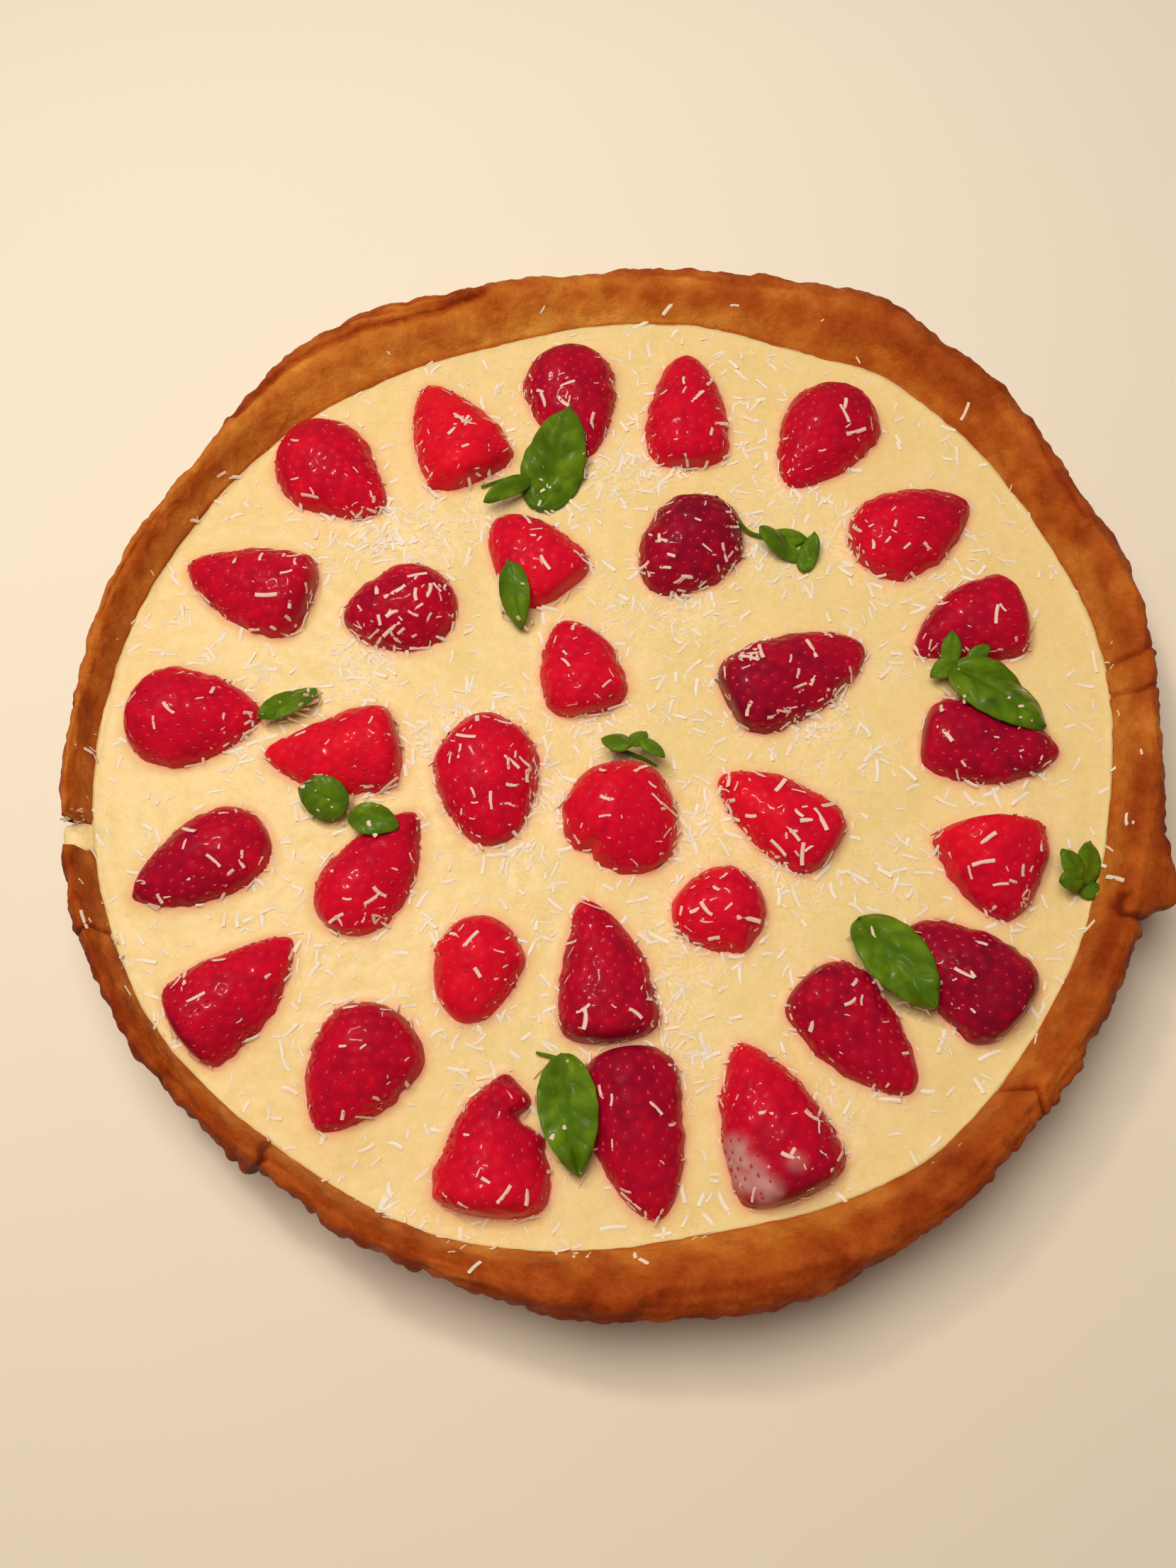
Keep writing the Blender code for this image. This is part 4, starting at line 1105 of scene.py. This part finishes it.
def make_seeds(finish, seeds):
    """A husk in every dimple."""
    places, outs, towards = [np.concatenate(column) for column in zip(*seeds)]
    bed = put_in_scene("seed_bed", make_mesh("seed_bed", places, [], out=outs, toward=towards))
    grow("strawberry_seeds", bed, seed_tree, finish, "strawberry", Length=0.5 * MM, Width=0.3 * MM,
         Height=0.25 * MM, Seed=5)


def make_shavings(finish, meshes, spacing=1.4, reach=139):
    """A bed over everything that lies in the case, and the slivers on it."""
    tops = skins_of(meshes)
    steps = np.arange(-reach, reach + spacing, spacing)
    x, y = np.meshgrid(steps, steps, indexing="ij")
    spots = np.stack([x.ravel(), y.ravel()], axis=-1)
    away = np.hypot(x, y).ravel()
    height = np.where(away < reach, heights_at(spots, tops), 0)

    # Few of them lie on the case, and most that fall on fruit slide down to its foot.
    density = strewn_at(spots)
    edge = around(CREAM_EDGE, np.degrees(np.arctan2(spots[:, 1], spots[:, 0])))
    on_case = 0.05 + 0.10 * (density > 1.5) + 0.4 * np.maximum(density - 8, 0)
    density = np.where(away > edge, on_case, np.maximum(density, 0.12))
    on_fruit = smooth(CREAM_TOP + 1, CREAM_TOP + 3, height)
    density *= 1 - SHED * on_fruit
    slope = np.hypot(*np.gradient(height.reshape(x.shape), spacing)).ravel()
    density *= 1 + FRINGE * smooth(0.5, 1.5, slope)
    covered = [face for face in grid_faces(len(steps), len(steps)) if height[list(face)].min() > 10]
    mesh = make_mesh("shaving_bed", np.c_[spots, height + 0.07], flip_faces(covered), density=density,
                     wet=0.7 * on_fruit * (away < edge))
    bed = put_in_scene("shaving_bed", mesh)
    grow("white_shavings", bed, shaving_tree, finish, "cream", Length=5.0 * MM, Width=0.43 * MM,
         Thickness=0.1 * MM, Density=90000.0, Seed=11)


# --- assembly -------------------------------------------------------------------------------------
pastry, cream_finish = shortcrust_pastry(), custard_cream()
skin_finish, seed_finish = strawberry_skin(), strawberry_seed()
blade_finish, shaving_finish = basil_blade(), white_shaving()

case_mesh = make_case(pastry)
berries = [make_berry(number, skin_finish) for number in range(1, len(STRAWBERRIES) + 1)]
cream_mesh = make_cream(cream_finish, [outline for outline, _, _ in berries])
lying = [mesh for _, _, mesh in berries] + [cream_mesh]
fruit_and_cream = skins_of(lying)
leaves = [make_leaf(number, blade_finish, fruit_and_cream) for number in range(1, len(BASIL_LEAVES) + 1)]
make_leaflets(blade_finish, fruit_and_cream)
make_stalks(blade_finish, fruit_and_cream)
make_seeds(seed_finish, [seeds for _, seeds, _ in berries])
leaf_meshes = [(points.reshape(-1, 3), grid_faces(*points.shape[:2])) for points in leaves]
make_shavings(shaving_finish, lying + leaf_meshes + [case_mesh])


# --- floor, light and camera ----------------------------------------------------------------------
def add_floor():
    """A plain pale floor under the tart, with a painted light falloff: a little lighter towards the back,
    darker towards the near edge.
    """
    finish, tree, place = start_material("matt laminate, plain", Roughness=0.55)
    depth = add_node(tree, "ShaderNodeSeparateXYZ", {"Vector": place}).outputs["Y"]
    fade = add_node(tree, "ShaderNodeMapRange", {
        "Value": depth, "From Min": -250 * MM, "From Max": 250 * MM, "To Min": 0.0, "To Max": 1.0,
    }).outputs["Result"]
    # painted light falloff: darker towards the near edge, lighter towards the back
    colour = add_node(tree, "ShaderNodeValToRGB", {"Fac": fade},
                      stops=[(0.0, "E6D2BA"), (1.0, "FAEAD2")]).outputs["Color"]
    wire_shader(tree, Base_Color=colour)
    corners = [(x * 1500, y * 1500, 0) for x, y in ((-1, -1), (1, -1), (1, 1), (-1, 1))]
    mesh = make_mesh("floor", corners, [(0, 1, 2, 3)])
    mesh.materials.append(finish)
    put_in_scene("floor", mesh)


def add_light(name, place, target, size, power, colour, mirrored=True):
    """A round soft light of a size in mm and a power in watts, turned to a target."""
    lamp = bpy.data.lights.new(name, "AREA")
    lamp.shape = "DISK"
    lamp.size = size * MM
    lamp.energy = power
    lamp.color = linear(colour)[:3]
    light = put_in_scene(name, lamp)
    light.location = Vector(place) * MM
    light.visible_glossy = mirrored
    light.rotation_euler = (Vector(target) - Vector(place)).to_track_quat("-Z", "Y").to_euler()


def add_camera():
    """Held over the tart, 68 degrees above the table and turned 7 degrees, with a phone's wide lens."""
    aim = Vector((-6.8, -13.0, 22.0))
    distance, elevation, roll = 380, math.radians(67.95), math.radians(-7.06)
    back = Vector((0, -math.cos(elevation), math.sin(elevation)))
    level = Vector((0, math.sin(elevation), math.cos(elevation)))
    right = Vector((math.cos(roll), 0, 0)) + level * math.sin(roll)
    up = Vector((-math.sin(roll), 0, 0)) + level * math.cos(roll)
    lens = bpy.data.cameras.new("camera")
    lens.lens = 34.32
    lens.sensor_width = 36
    lens.clip_start = 0.01
    camera = put_in_scene("camera", lens)
    turn = Matrix((right, up, back)).transposed().to_4x4()
    camera.matrix_world = Matrix.Translation((aim + back * distance) * MM) @ turn
    bpy.context.scene.camera = camera


add_floor()
add_light("ceiling", (-90, 35, 760), (-90, 35, 0), 500, 4.85, "FFFDF6", mirrored=False)
add_light("lamp", (-330, 420, 1000), (0, 0, 0), 130, 2.2, "FFFAF2")
world = bpy.data.worlds.new("room")
world.use_nodes = True
world.node_tree.nodes["Background"].inputs["Color"].default_value = linear("FFFEFA")
world.node_tree.nodes["Background"].inputs["Strength"].default_value = 0.15
bpy.context.scene.world = world
bpy.context.scene.view_settings.view_transform = "Standard"
add_camera()
